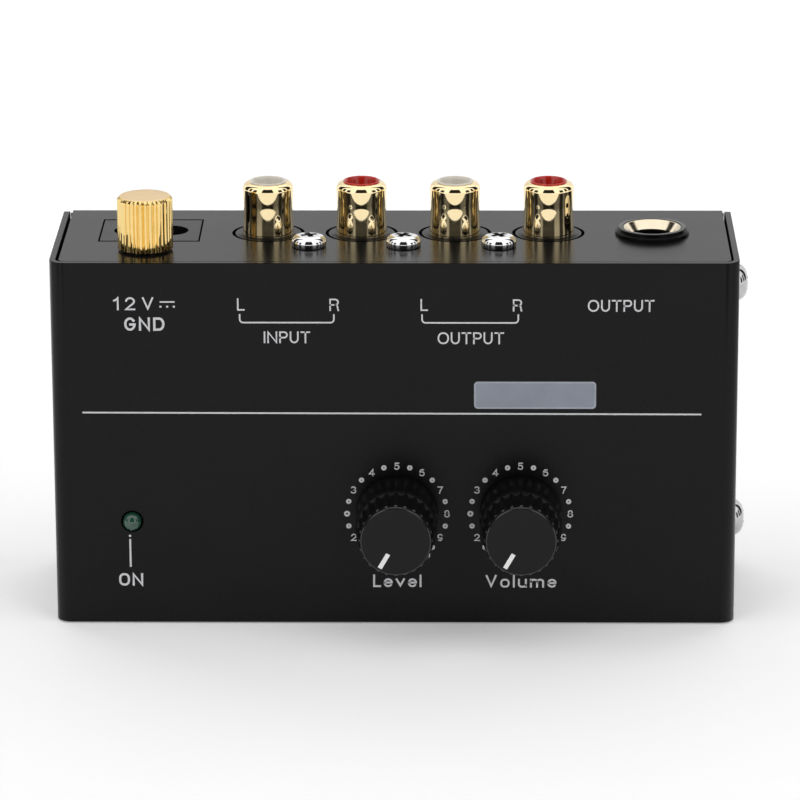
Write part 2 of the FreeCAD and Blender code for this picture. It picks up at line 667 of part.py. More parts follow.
# Captive washer and knurled thumb nut; both rise together when the nut is undone.
b = turned("GroundWasher", [(GS + 0.3, 0.0), (3.9, 0.0), (3.9, GW), (GS + 0.3, GW)])
keep(place(b, GX, fy(GY), H), "ground_washer")
nut = turned("ThumbNut", [
    (GS + 0.05, GW), (GN - 0.35, GW), (GN, GW + 0.3), (GN, GW + GH - 0.5), (GN - 0.45, GW + GH), (0, GW + GH), (0, GW + GH - 1.2), (GS + 0.05, GW + GH - 1.2)])
sk = sketch(nut, "Knurl", "XY_Plane", GW + GH + 0.2)
poly(sk, [(GN - 0.28, 0.0), (GN + 0.3, 0.42), (GN + 0.3, -0.42)])
pk = pocket(nut, sk, "Groove", GH + 0.4)
polar(nut, pk, sk, 36)
keep(place(nut, GX, fy(GY), H), "ground_thumb_nut")


# ================================================================ controls
def control(prefix, cx):
    spin = TO_FRONT.multiply(Rotation(Vector(0, 0, 1), 150))
    # Sealed case with a round chamber for the wiper.
    c0 = box(prefix + "CaseBox", cx - 4.9, fy(BF) - 6.8, KZ - 6.5, cx + 4.9, fy(BF), KZ + 4.8)
    c1 = cyl(prefix + "CaseRoom", 4.3, 5.0, cx, fy(BF) - 2.0, KZ, TO_FRONT)
    keep(cut(prefix + "Case", c0, c1), prefix + "_pot_case")
    # Die-cast front with the shaft bushing.
    b0 = box(prefix + "Plate", cx - 4.9, fy(BF) - 7.7, KZ - 6.5, cx + 4.9, fy(BF) - 6.8, KZ + 4.8)
    b1 = cyl(prefix + "Neck", 3.6, 5.8, cx, fy(BF) - 7.0, KZ, TO_FRONT)
    b2 = cyl(prefix + "NeckBore", AR + AC, 20.0, cx, fy(BF) + 2.0, KZ, TO_FRONT)
    keep(cut(prefix + "Bushing", fuse(prefix + "BushSolid", [b0, b1]), b2), prefix + "_pot_bushing")
    legs = []
    for k in (-1, 0, 1):
        a = box(prefix + "LegDown%d" % (k + 1), cx + k * 2.5 - 0.4, fy(BF) - 2.6, KZ - 8.6, cx + k * 2.5 + 0.4,
                fy(BF) - 2.2, KZ - 6.5)
        d = box(prefix + "LegIn%d" % (k + 1), cx + k * 2.5 - 0.4, fy(BF) - 2.6, KZ - 8.6, cx + k * 2.5 + 0.4,
                fy(BF), KZ - 8.2)
        legs.append(fuse(prefix + "Leg%d" % (k + 1), [a, d]))
    keep(group(prefix + "Legs", legs), prefix + "_pot_terminals", 3)
    # Shaft with its wiper disc; the last stretch under the knob has a flat.
    tip = KG + KH - 2.2
    s = turned(prefix + "ShaftTurn", [
        (0, -(BF - 3.6)), (1.2, -(BF - 3.6)), (1.2, -(BF - 4.8)), (3.9, -(BF - 4.8)), (3.9, -(BF - 6.2)),
        (AR, -(BF - 6.2)), (AR, tip - 0.4), (AR - 0.4, tip), (0, tip)])
    place(s, cx, FY, KZ, spin)
    flat = doc.addObject("Part::Box", prefix + "Flat")
    flat.Length, flat.Width, flat.Height = 8.0, 3.0, 10.0
    flat.Placement = Placement(Vector(num(cx), num(FY), num(KZ)), spin).multiply(
        Placement(Vector(-4.0, 1.5, num(tip) - 9.0), Rotation()))
    keep(cut(prefix + "Shaft", s, flat), prefix + "_shaft")
    # Knob: smooth skirt, fluted grip, bevelled face with a slot for the pointer.
    k = turned(prefix + "KnobTurn", [
        (0, 0.8), (4.4, 0.8), (4.4, 6.2), (5.5, 6.2), (5.5, 0.0), (KB, 0.0), (KB - 0.1, KS - 0.15),
        (KB - 0.4, KS + 0.15), (KT, KH - 0.45), (KF, KH), (0, KH)])
    sk = sketch(k, "Flute", "XY_Plane", KH + 0.2)
    circle(sk, KB - 0.22, 0.0, 0.48)
    fl = pocket(k, sk, "Flutes", KH - KS)
    polar(k, fl, sk, NF)
    sk = sketch(k, "PointerSlot", "XY_Plane", KH)
    rect(sk, -KW / 2, KP, KW / 2, KQ)
    pocket(k, sk, "Slot", KD)
    place(k, cx, FY - KG, KZ, spin)
    bore = cyl(prefix + "KnobBore", AR + 0.03, KH - 2.15, cx, FY - KG, KZ, spin)
    key = doc.addObject("Part::Box", prefix + "Key")
    key.Length, key.Width, key.Height = 8.0, 3.0, 8.4
    key.Placement = Placement(Vector(num(cx), num(FY - KG), num(KZ)), spin).multiply(
        Placement(Vector(-4.0, 1.55, num(tip - KG) - 8.3), Rotation()))
    keep(cut(prefix + "Knob", k, cut(prefix + "KnobTool", bore, key)), prefix + "_knob")
    p = new_body(prefix + "Pointer")
    sk = sketch(p, "Bar", "XY_Plane", KH - KD)
    rect(sk, -KW / 2, KP, KW / 2, KQ)
    pad(p, sk, "Inlay", KD + 0.03)
    doc.recompute()
    keep(place(p, cx, FY - KG, KZ, spin), prefix + "_pointer")


control("level", LX)
control("volume", VX)

# ================================================================ lamp
b = turned("Lamp", [(0, -3.8), (ER + 0.4, -3.8), (ER + 0.4, -2.8), (ER, -2.8), (ER, 1.5), (0, 1.5)])
fillet(b, ring_edges(b, 1.5, num(ER)), 1.35)
keep(place(b, EX, FY, EZ, TO_FRONT), "lamp_lens")
l1 = box("LampLegA", EX - 1.52, fy(3.8), EZ - 0.25, EX - 1.02, fy(BF), EZ + 0.25)
l2 = box("LampLegB", EX + 1.02, fy(3.8), EZ - 0.25, EX + 1.52, fy(BF), EZ + 0.25)
keep(group("LampLegs", [l1, l2]), "lamp_leads", 2)
b = turned("LampSpacer", [(1.75, 0.0), (2.5, 0.0), (2.5, BF - 3.85), (1.75, BF - 3.85)])
keep(place(b, EX, fy(3.85), EZ, TO_BACK), "lamp_spacer")

# ================================================================ board and its parts
bd = new_body("Board")
sk = sketch(bd, "Outline", "XZ_Plane", -fy(BF))
rect(sk, -BW, BL, BW, BH)
for x, z in POSTS:
    circle(sk, x, z, 1.6)
pad(bd, sk, "Laminate", BT, rev=True)
doc.recompute()
keep(bd, "main_board")

chips = []
clegs = []
for i, (x, z) in enumerate(((-14.0, 37.5), (6.5, 37.5))):
    chips.append(box("Chip%d" % i, x - 4.8, fy(BF) - 4.4, z - 3.2, x + 4.8, fy(BF) - 0.8, z + 3.2))
    for r in range(4):
        for s in (-1, 1):
            xx = x - 3.81 + 2.54 * r
            a = box("ChipLegA%d%d%d" % (i, r, s + 1), xx - 0.25, fy(BF) - 2.7, z + s * 3.5 - 0.3, xx + 0.25,
                    fy(BF) - 2.4, z + s * 3.5 + 0.3)
            c = box("ChipLegB%d%d%d" % (i, r, s + 1), xx - 0.25, fy(BF) - 2.7, z + s * 3.8 - 0.15, xx + 0.25,
                    fy(BF), z + s * 3.8 + 0.15)
            clegs.append(fuse("ChipLeg%d%d%d" % (i, r, s + 1), [a, c]))
keep(group("Chips", chips), "op_amp_chips", 2)
keep(group("ChipLegs", clegs), "op_amp_leads", 16)

rg = box("RegBody", -40.0, fy(BF) - 6.5, 26.0, -30.0, fy(BF) - 2.0, 35.0)
keep(rg, "regulator_body")
rt = cut("RegTabCut", box("RegTabBox", -40.0, fy(BF) - 1.3 - 0.7, 26.0, -30.0, fy(BF) - 0.7, 41.0),
         cyl("RegTabHole", 1.8, 6.0, -35.0, fy(BF) - 4.0, 38.2, TO_BACK))
keep(rt, "regulator_tab")
rl = []
for k in (-1, 0, 1):
    a = box("RegLegA%d" % (k + 1), -35.4 + 2.54 * k, fy(BF) - 4.5, 21.0, -34.6 + 2.54 * k, fy(BF) - 4.0, 26.0)
    c = box("RegLegB%d" % (k + 1), -35.4 + 2.54 * k, fy(BF) - 4.5, 21.0, -34.6 + 2.54 * k, fy(BF), 21.5)
    rl.append(fuse("RegLeg%d" % (k + 1), [a, c]))
keep(group("RegLegs", rl), "regulator_leads", 3)

caps = []
for i, (x, z, r, L) in enumerate(((-24.0, 12.0, 4.0, 11.5), (-14.5, 12.0, 4.0, 11.5), (-22.0, 27.0, 3.15, 11.0),
                                  (30.3, 36.0, 3.15, 11.0), (33.5, 14.0, 3.15, 11.0), (40.5, 14.0, 3.15, 11.0))):
    b = turned("Can%d" % i, [(0, 0.0), (r, 0.0), (r, 1.0), (r - 0.35, 1.5), (r, 2.0), (r, L), (0, L)])
    fillet(b, ring_edges(b, L, r), 0.4)
    caps.append(place(b, x, fy(BF), z, TO_FRONT))
keep(group("Cans", caps), "electrolytic_capacitors", 6)

films = []
for i, (x, z) in enumerate(((-4.5, 30.5), (-4.5, 44.0 - 1.5), (17.0, 33.0), (17.0, 38.5), (24.0, 33.0), (24.0, 38.5))):
    films.append(box("Film%d" % i, x - 3.0, fy(BF) - 6.5, z - 1.3, x + 3.0, fy(BF), z + 1.3))
keep(group("Films", films), "film_capacitors", 6)

RES = [(-13.0, 24.0), (-13.0, 28.0), (9.5, 29.0), (-1.0 + 14.0, 6.0), (30.0, 27.0), (30.0, 23.5), (30.0, 20.0),
       (-4.0, 6.0), (5.0, 6.0 + 0.0), (-33.0, 8.5), (-33.0, 12.5), (22.0, 6.0)]
rb = []
rw_ = []
for i, (x, z) in enumerate(RES):
    rb.append(cyl("Resistor%d" % i, 1.1, 5.0, x - 2.5, fy(BF) - 1.4, z, TO_RIGHT))
    for s in (-1, 1):
        xe = x + s * 3.4
        lo, hi = (xe - 0.25, x - 2.5) if s < 0 else (x + 2.5, xe + 0.25)
        a = box("ResLegA%d%d" % (i, s + 1), lo, fy(BF) - 1.65, z - 0.25, hi, fy(BF) - 1.15, z + 0.25)
        c = box("ResLegB%d%d" % (i, s + 1), xe - 0.25, fy(BF) - 1.65, z - 0.25, xe + 0.25, fy(BF), z + 0.25)
        rw_.append(fuse("ResLeg%d%d" % (i, s + 1), [a, c]))
keep(group("Resistors", rb), "resistor_bodies", len(RES))
keep(group("ResistorLegs", rw_), "resistor_leads", 2 * len(RES))

# ================================================================ test and write
doc.recompute()
for o in doc.Objects:
    for bad in ("Invalid", "Error"):
        if bad in o.State:
            raise RuntimeError("%s (%s) is %s" % (o.Name, o.Label, bad))
for label, obj, count in OUT:
    sh = obj.Shape
    if sh.isNull() or not sh.isValid():
        raise RuntimeError("bad shape: " + label)
    if len(sh.Solids) != count:
        raise RuntimeError("%s holds %d solids, not %d" % (label, len(sh.Solids), count))
os.makedirs("parts", exist_ok=True)
for label, obj, count in OUT:
    obj.Shape.exportStep("parts/%s.step" % label)
    bb = obj.Shape.BoundBox
    print("%-28s solids %2d  vol %10.2f  x %.2f..%.2f y %.2f..%.2f z %.2f..%.2f" % (
        label, count, obj.Shape.Volume, bb.XMin, bb.XMax, bb.YMin, bb.YMax, bb.ZMin, bb.ZMax))
print(len(OUT), "nodes")
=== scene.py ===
import math
import random

import bmesh
import bpy
from mathutils import Matrix, Vector


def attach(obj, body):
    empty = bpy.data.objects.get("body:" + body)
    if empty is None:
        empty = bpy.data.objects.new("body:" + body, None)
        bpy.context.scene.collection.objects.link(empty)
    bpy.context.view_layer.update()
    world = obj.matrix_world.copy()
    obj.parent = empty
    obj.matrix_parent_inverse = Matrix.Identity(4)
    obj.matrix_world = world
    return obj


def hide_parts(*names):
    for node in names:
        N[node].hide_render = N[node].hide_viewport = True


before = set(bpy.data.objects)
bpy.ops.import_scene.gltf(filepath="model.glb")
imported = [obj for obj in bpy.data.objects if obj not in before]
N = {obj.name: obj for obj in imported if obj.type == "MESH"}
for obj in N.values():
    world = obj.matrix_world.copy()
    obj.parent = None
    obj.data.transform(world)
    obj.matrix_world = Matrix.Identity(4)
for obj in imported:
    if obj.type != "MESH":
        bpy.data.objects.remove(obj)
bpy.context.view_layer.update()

# Small desk preamplifier, standing on its lower edge: connector panel up, control face towards -Y.
# Lengths below are in millimetres and are turned into metres where a mesh is made.
MM = 0.001
W, H, FY, DEP = 110.0, 60.4, -17.15, 34.3
PHONO_X = (-20.67, -5.52, 9.63, 24.78)
PHONO_Y = FY + 18.82
SCREW_X = (-13.82, 1.38, 16.70)
SCREW_Y = FY + 10.4
JACK = (41.6, FY + 18.6)
GROUND = (-40.0, FY + 8.5)
KNOB_X = (0.35, 20.25)
KNOB_Z = 18.55
LAMP = (-42.4, 17.2)
SIDE_Y = FY + 24.0
SIDE_Z = (10.2, 50.7)

sc = bpy.context.scene
sc.view_settings.view_transform = "Standard"
sc.view_settings.look = "None"
sc.view_settings.exposure = 0.0
sc.view_settings.gamma = 1.0


# ------------------------------------------------------------------ materials
def material(name, base, base2=None, rough=(0.3, 0.4), metallic=0.0, spec=0.5, ior=1.5, blotch=400.0,
             grain=9000.0, bump=0.1, depth=0.01, streak=None, scratches=0.0, coat=0.0, coat_rough=0.1,
             sss=0.0, sss_radius=(0.5, 0.4, 0.3), transmission=0.0, wear=None):
    """Surface with blotchy colour, uneven roughness, fine grain and, if asked, turned or brushed streaks."""
    m = bpy.data.materials.new(name)
    m.use_nodes = True
    nt = m.node_tree
    nt.nodes.clear()
    out = nt.nodes.new("ShaderNodeOutputMaterial")
    b = nt.nodes.new("ShaderNodeBsdfPrincipled")
    nt.links.new(b.outputs["BSDF"], out.inputs["Surface"])
    b.inputs["Metallic"].default_value = metallic
    b.inputs["Specular IOR Level"].default_value = spec
    b.inputs["IOR"].default_value = ior
    b.inputs["Coat Weight"].default_value = coat
    b.inputs["Coat Roughness"].default_value = coat_rough
    b.inputs["Subsurface Weight"].default_value = sss
    b.inputs["Subsurface Radius"].default_value = sss_radius
    b.inputs["Subsurface Scale"].default_value = 0.001
    b.inputs["Transmission Weight"].default_value = transmission
    base2 = base2 or tuple(c * 1.25 for c in base)
    co = nt.nodes.new("ShaderNodeTexCoord")
    src = co.outputs["Object"]

    def noise(scale, detail=3.0, roughness=0.55, vec=None, distortion=0.0):
        n = nt.nodes.new("ShaderNodeTexNoise")
        n.inputs["Scale"].default_value = scale
        n.inputs["Detail"].default_value = detail
        n.inputs["Roughness"].default_value = roughness
        n.inputs["Distortion"].default_value = distortion
        nt.links.new(vec or src, n.inputs["Vector"])
        return n.outputs["Fac"]

    def remap(value, a, z, lo, hi):
        r = nt.nodes.new("ShaderNodeMapRange")
        r.inputs["From Min"].default_value = a
        r.inputs["From Max"].default_value = z
        r.inputs["To Min"].default_value = lo
        r.inputs["To Max"].default_value = hi
        nt.links.new(value, r.inputs["Value"])
        return r.outputs["Result"]

    def mix(fac, a, z):
        x = nt.nodes.new("ShaderNodeMix")
        x.data_type = "RGBA"
        nt.links.new(fac, x.inputs["Factor"])
        for i, v in ((6, a), (7, z)):
            if isinstance(v, tuple):
                x.inputs[i].default_value = (*v, 1.0)
            else:
                nt.links.new(v, x.inputs[i])
        return x.outputs[2]

    def math_node(op, a, z):
        x = nt.nodes.new("ShaderNodeMath")
        x.operation = op
        for i, v in ((0, a), (1, z)):
            if isinstance(v, (int, float)):
                x.inputs[i].default_value = v
            else:
                nt.links.new(v, x.inputs[i])
        return x.outputs[0]

    broad = noise(blotch, 4.0, 0.6)
    colour = mix(remap(broad, 0.3, 0.7, 0.0, 1.0), tuple(base), tuple(base2))
    fine = noise(grain, 2.0, 0.5)
    if streak:
        mp = nt.nodes.new("ShaderNodeMapping")
        mp.inputs["Scale"].default_value = streak
        nt.links.new(src, mp.inputs["Vector"])
        lines = noise(1.0, 2.0, 0.6, mp.outputs["Vector"])
        fine = math_node("ADD", math_node("MULTIPLY", fine, 0.35), math_node("MULTIPLY", lines, 0.65))
    ro = remap(math_node("ADD", math_node("MULTIPLY", broad, 0.6), math_node("MULTIPLY", fine, 0.4)),
               0.3, 0.7, rough[0], rough[1])
    if scratches:
        v = nt.nodes.new("ShaderNodeTexVoronoi")
        v.feature = "DISTANCE_TO_EDGE"
        v.inputs["Scale"].default_value = 260.0
        mp = nt.nodes.new("ShaderNodeMapping")
        mp.inputs["Rotation"].default_value = (0.3, 0.5, 0.7)
        mp.inputs["Scale"].default_value = (1.0, 0.35, 1.6)
        nt.links.new(src, mp.inputs["Vector"])
        nt.links.new(mp.outputs["Vector"], v.inputs["Vector"])
        hair = remap(v.outputs["Distance"], 0.0, 0.012, 1.0, 0.0)
        patch = remap(noise(90.0, 2.0), 0.52, 0.62, 0.0, scratches)
        line = math_node("MULTIPLY", hair, patch)
        ro = math_node("ADD", ro, math_node("MULTIPLY", line, 0.12))
        colour = mix(line, colour, tuple(min(1.0, c * 1.9 + 0.004) for c in base))
    if wear:
        g = nt.nodes.new("ShaderNodeNewGeometry")
        edge = remap(g.outputs["Pointiness"], 0.52, 0.62, 0.0, 1.0)
        edge = math_node("MULTIPLY", edge, remap(noise(700.0, 3.0), 0.42, 0.6, 0.0, 1.0))
        colour = mix(edge, colour, tuple(wear))
    nt.links.new(colour, b.inputs["Base Color"])
    nt.links.new(ro, b.inputs["Roughness"])
    bp = nt.nodes.new("ShaderNodeBump")
    bp.inputs["Strength"].default_value = bump
    bp.inputs["Distance"].default_value = depth * MM
    nt.links.new(fine, bp.inputs["Height"])
    nt.links.new(bp.outputs["Normal"], b.inputs["Normal"])
    return m


M = {}
M["black_paint"] = material("black_paint", (0.0042, 0.0042, 0.0043), (0.0058, 0.0058, 0.0060), (0.24, 0.32), spec=0.15,
                            blotch=60.0, grain=9000.0, bump=0.10, depth=0.006, scratches=0.12)
M["paint_edge"] = material("paint_edge", (0.006, 0.006, 0.006), (0.012, 0.012, 0.012), (0.16, 0.26), spec=0.24,
                           blotch=500.0, grain=9000.0, bump=0.06, depth=0.006)
# Lighter, smoother copy of the black paint: painted light for the brighter top of the connector panel.
M["black_paint_lit_copy"] = material("black_paint_lit_copy", (0.0046, 0.0046, 0.0047), (0.0060, 0.0060, 0.0061), (0.20, 0.26), spec=0.145,
                            blotch=60.0, grain=9000.0, bump=0.08, depth=0.006, scratches=0.12)
# Dark non-metal for the cross recess of the chrome screws: painted shade in the recess.
M["screw_recess_painted_shade"] = material("screw_recess_painted_shade", (0.012, 0.012, 0.013), (0.022, 0.022, 0.023), (0.35, 0.5), 0.0, blotch=900.0,
                             grain=5000.0, bump=0.10, depth=0.006)
# Darker copy of the screw chrome for the side screws: painted shade.
M["screw_chrome_shaded_copy"] = material("screw_chrome_shaded_copy", (0.46, 0.46, 0.47), (0.54, 0.54, 0.55), (0.08, 0.14), 1.0, blotch=900.0,
                           grain=5000.0, bump=0.05, depth=0.004)
M["screw_chrome"] = material("screw_chrome", (0.82, 0.82, 0.83), (0.88, 0.88, 0.89), (0.03, 0.07), 1.0, blotch=900.0,
                             grain=5000.0, bump=0.03, depth=0.004)
M["plated_steel"] = material("plated_steel", (0.52, 0.53, 0.54), (0.64, 0.64, 0.62), (0.22, 0.36), 1.0, blotch=500.0,
                             grain=6000.0, bump=0.08, depth=0.006)
M["rubber"] = material("rubber", (0.012, 0.012, 0.012), (0.018, 0.018, 0.018), (0.62, 0.78), spec=0.35, blotch=300.0,
                       grain=4000.0, bump=0.3, depth=0.02)
M["black_nylon"] = material("black_nylon", (0.0055, 0.0055, 0.0056), (0.0080, 0.0080, 0.0080), (0.26, 0.34), spec=0.17,
                            blotch=250.0, grain=5000.0, bump=0.10, depth=0.008)
M["gold"] = material("gold", (0.96, 0.79, 0.48), (0.93, 0.76, 0.44), (0.03, 0.06), 1.0, blotch=300.0,
                     grain=3000.0, bump=0.02, depth=0.004, streak=(300.0, 300.0, 9000.0))
M["gold_nut"] = material("gold_nut", (0.92, 0.68, 0.29), (0.86, 0.63, 0.25), (0.06, 0.11), 1.0, blotch=500.0,
                         grain=5000.0, bump=0.05, depth=0.006)
M["gold_face"] = material("gold_face", (0.86, 0.64, 0.36), (0.82, 0.61, 0.34), (0.34, 0.42), 1.0, blotch=500.0,
                          grain=8000.0, bump=0.10, depth=0.006)
M["insert_white"] = material("insert_white", (0.76, 0.71, 0.62), (0.80, 0.76, 0.68), (0.16, 0.24), spec=0.5, blotch=400.0,
                             grain=3000.0, bump=0.05, depth=0.01, sss=0.25, sss_radius=(1.0, 0.9, 0.8))
M["insert_red"] = material("insert_red", (0.48, 0.016, 0.008), (0.56, 0.026, 0.014), (0.16, 0.24), spec=0.5, blotch=400.0,
                           grain=3000.0, bump=0.05, depth=0.01, sss=0.15, sss_radius=(1.0, 0.2, 0.1))
M["tinned_contact"] = material("tinned_contact", (0.74, 0.74, 0.73), (0.82, 0.82, 0.81), (0.16, 0.30), 1.0, blotch=900.0,
                               grain=6000.0, bump=0.08, depth=0.006)
M["jack_nickel"] = material("jack_nickel", (0.80, 0.71, 0.54), (0.76, 0.67, 0.50), (0.10, 0.18), 1.0, blotch=500.0,
                            grain=5000.0, bump=0.03, depth=0.005)
M["ring_black"] = material("ring_black", (0.004, 0.004, 0.004), (0.006, 0.006, 0.006), (0.10, 0.16), spec=0.28, blotch=300.0,
                           grain=5000.0, bump=0.04, depth=0.006)
# Darker, duller copy of the ring black: painted shade on the collar's side and inside the jack's bore.
M["ring_black_shaded_copy"] = material("ring_black_shaded_copy", (0.0025, 0.0025, 0.0025), (0.0040, 0.0040, 0.0040), (0.22, 0.32), spec=0.05, blotch=300.0,
                          grain=5000.0, bump=0.06, depth=0.006)
# Near-black, nearly unreflecting edge: painted shade on the cover's bevels and a painted dark reflection on the rear
# bend.
M["edge_painted_shade"] = material("edge_painted_shade", (0.0022, 0.0022, 0.0023), (0.0034, 0.0034, 0.0035), (0.40, 0.52), spec=0.03, blotch=300.0,
                          grain=7000.0, bump=0.08, depth=0.006)
# Darker, duller copy of the knob black: painted shade on the skirt.
M["knob_skirt"] = material("knob_skirt", (0.0028, 0.0028, 0.0029), (0.0040, 0.0040, 0.0041), (0.36, 0.46), spec=0.08, blotch=250.0,
                           grain=7000.0, bump=0.10, depth=0.006)
M["wire_jacket"] = material("wire_jacket", (0.010, 0.010, 0.011), (0.016, 0.016, 0.016), (0.35, 0.45), spec=0.4,
                            blotch=400.0, grain=3000.0, bump=0.12, depth=0.01)
M["pot_case"] = material("pot_case", (0.030, 0.045, 0.040), (0.040, 0.058, 0.052), (0.45, 0.58), blotch=300.0, grain=4000.0,
                         bump=0.15, depth=0.01)
M["die_cast"] = material("die_cast", (0.55, 0.55, 0.56), (0.64, 0.64, 0.64), (0.32, 0.46), 1.0, blotch=400.0, grain=3500.0,
                         bump=0.15, depth=0.012)
M["shaft_steel"] = material("shaft_steel", (0.62, 0.61, 0.58), (0.70, 0.69, 0.66), (0.18, 0.30), 1.0, blotch=400.0,
                            grain=4000.0, bump=0.08, depth=0.008, streak=(300.0, 9000.0, 300.0))
M["knob_black"] = material("knob_black", (0.0036, 0.0036, 0.0037), (0.0048, 0.0048, 0.0049), (0.30, 0.38), spec=0.21,
                           blotch=250.0, grain=7000.0, bump=0.10, depth=0.006)
# Lighter, glossier copy of the knob black: painted highlight on the face rim and rib ends.
M["knob_black_lit_copy"] = material("knob_black_lit_copy", (0.006, 0.006, 0.006), (0.009, 0.009, 0.009), (0.10, 0.16), spec=0.60,
                          blotch=400.0, grain=6000.0, bump=0.04, depth=0.006)
M["pointer_white"] = material("pointer_white", (0.86, 0.86, 0.85), (0.92, 0.92, 0.91), (0.35, 0.5), blotch=500.0,
                              grain=5000.0, bump=0.1, depth=0.006)
M["print_grey"] = material("print_grey", (0.60, 0.60, 0.62), (0.67, 0.67, 0.69), (0.40, 0.55), spec=0.3, blotch=900.0,
                           grain=7000.0, bump=0.12, depth=0.004)
M["badge_plate"] = material("badge_plate", (0.240, 0.266, 0.316), (0.278, 0.306, 0.358), (0.30, 0.42), spec=0.3,
                            blotch=220.0, grain=7000.0, bump=0.10, depth=0.004, streak=(400.0, 400.0, 5000.0))
M["badge_rim"] = material("badge_rim", (0.34, 0.36, 0.40), (0.40, 0.42, 0.46), (0.30, 0.42), spec=0.3, blotch=500.0,
                          grain=7000.0, bump=0.10, depth=0.004)
M["lamp_green"] = material("lamp_green", (0.008, 0.050, 0.030), (0.014, 0.070, 0.044), (0.05, 0.10), spec=0.6, blotch=900.0,
                           grain=2500.0, bump=0.06, depth=0.01, sss=0.1, sss_radius=(0.3, 1.0, 0.6), coat=0.6)
M["board"] = material("board", (0.010, 0.085, 0.035), (0.014, 0.11, 0.045), (0.22, 0.34), blotch=220.0, grain=3000.0,
                      bump=0.15, depth=0.01, coat=0.3)
M["chip_black"] = material("chip_black", (0.012, 0.012, 0.013), (0.018, 0.018, 0.018), (0.48, 0.62), blotch=400.0,
                           grain=5000.0, bump=0.2, depth=0.01)
M["can_sleeve"] = material("can_sleeve", (0.010, 0.012, 0.030), (0.014, 0.018, 0.042), (0.22, 0.32), blotch=300.0,
                           grain=3000.0, bump=0.08, depth=0.01)
M["film_box"] = material("film_box", (0.42, 0.055, 0.030), (0.50, 0.075, 0.040), (0.25, 0.36), blotch=300.0, grain=3000.0,
                         bump=0.08, depth=0.01)
M["resistor_coat"] = material("resistor_coat", (0.24, 0.36, 0.46), (0.30, 0.43, 0.53), (0.3, 0.42), blotch=400.0,
                              grain=3000.0, bump=0.15, depth=0.015)


def dress(node, *mats):
    o = N[node]
    o.data.materials.clear()
    for m in mats:
        o.data.materials.append(M[m])
    for p in o.data.polygons:
        p.material_index = 0
    return o


CARRIED = {
    "plated_steel": ["board_standoffs", "board_screws", "ground_stud", "ground_lug", "ground_lock_nut"],
    "rubber": ["rubber_feet"],
    "black_nylon": ["phono_socket_block", "jack_body", "power_socket_housing", "lamp_spacer"],
    "tinned_contact": ["phono_centre_contacts", "phono_ground_tails", "jack_contact_springs", "power_centre_pin",
                       "power_terminals", "level_pot_terminals", "volume_pot_terminals", "lamp_leads", "op_amp_leads",
                       "regulator_tab", "regulator_leads", "resistor_leads"],
    "wire_jacket": ["ground_wire"],
    "ring_black": ["ground_washer"],
    "pot_case": ["level_pot_case", "volume_pot_case"],
    "die_cast": ["level_pot_bushing", "volume_pot_bushing"],
    "shaft_steel": ["level_shaft", "volume_shaft"],
    "pointer_white": ["level_pointer", "volume_pointer"],
    "board": ["main_board"],
    "chip_black": ["op_amp_chips", "regulator_body"],
    "can_sleeve": ["electrolytic_capacitors"],
    "film_box": ["film_capacitors"],
    "resistor_coat": ["resistor_bodies"],
}
for slot_name, names in CARRIED.items():
    for nm in names:
        dress(nm, slot_name)
o = dress("front_cover", "black_paint", "paint_edge", "edge_painted_shade", "black_paint_lit_copy")
for p in o.data.polygons:      # sheared edges of the sheet, level with the connector panel, take the lighter copy of the black paint: painted light on up-facing faces
    if p.normal.z > 0.9 and p.center.z > (H - 0.05) * MM:
        p.material_index = 3
# The chassis takes the lighter copy of the black paint, painted light on its top.
o = dress("rear_chassis", "black_paint_lit_copy", "paint_edge", "edge_painted_shade")
for p in o.data.polygons:      # turn of the sheet at the back of the connector panel takes the dull near-black edge: a painted dark reflection along the bend
    if p.center.z > (H - 4.0) * MM and p.center.y > 0.012 and 0.06 < p.normal.y and abs(p.normal.x) < 0.2:
        p.material_index = 2


# ------------------------------------------------------------------ mesh helpers
def new_object(name, bm, mats, smooth=True, angle=35.0):
    me = bpy.data.meshes.new(name)
    bmesh.ops.recalc_face_normals(bm, faces=bm.faces)
    bm.to_mesh(me)
    bm.free()
    for m in mats:
        me.materials.append(M[m])
    if smooth:
        me.shade_smooth()
        me.set_sharp_from_angle(angle=math.radians(angle))
    o = bpy.data.objects.new(name, me)
    sc.collection.objects.link(o)
    return o


def settle(o, body, slot, *nodes):
    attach(o, body)
    if nodes:
        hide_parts(*nodes)
    return o


def rounded(pts, steps=5):
    """Polyline with arcs at the points that carry a third number, their radius."""
    out = []
    n = len(pts)
    for i, p in enumerate(pts):
        r = p[2] if len(p) > 2 else 0.0
        if r <= 0 or i in (0, n - 1):
            out.append((p[0], p[1]))
            continue
        a, b, c = Vector(pts[i - 1][:2]), Vector(p[:2]), Vector(pts[i + 1][:2])
        u, v = (a - b), (c - b)
        lu, lv = u.length, v.length
        u.normalize()
        v.normalize()
        ang = u.angle(v)
        if ang > math.pi - 0.02:
            out.append((p[0], p[1]))
            continue
        t = min(r / math.tan(ang / 2), 0.48 * lu, 0.48 * lv)
        rr = t * math.tan(ang / 2)
        centre = b + (u + v).normalized() * (rr / math.sin(ang / 2))
        s, e = b + u * t - centre, b + v * t - centre
        full = s.angle_signed(e)
        for k in range(steps + 1):
            q = Matrix.Rotation(-full * k / steps, 2) @ s
            out.append((centre.x + q.x, centre.y + q.y))
    return out


UP = Matrix.Identity(4)
FRONT = Matrix(((1, 0, 0, 0), (0, 0, -1, 0), (0, 1, 0, 0), (0, 0, 0, 1)))
RIGHT = Matrix(((0, 0, 1, 0), (0, 1, 0, 0), (-1, 0, 0, 0), (0, 0, 0, 1)))


def at(x, y, z, turn=UP):
    return Matrix.Translation(Vector((x, y, z))) @ turn


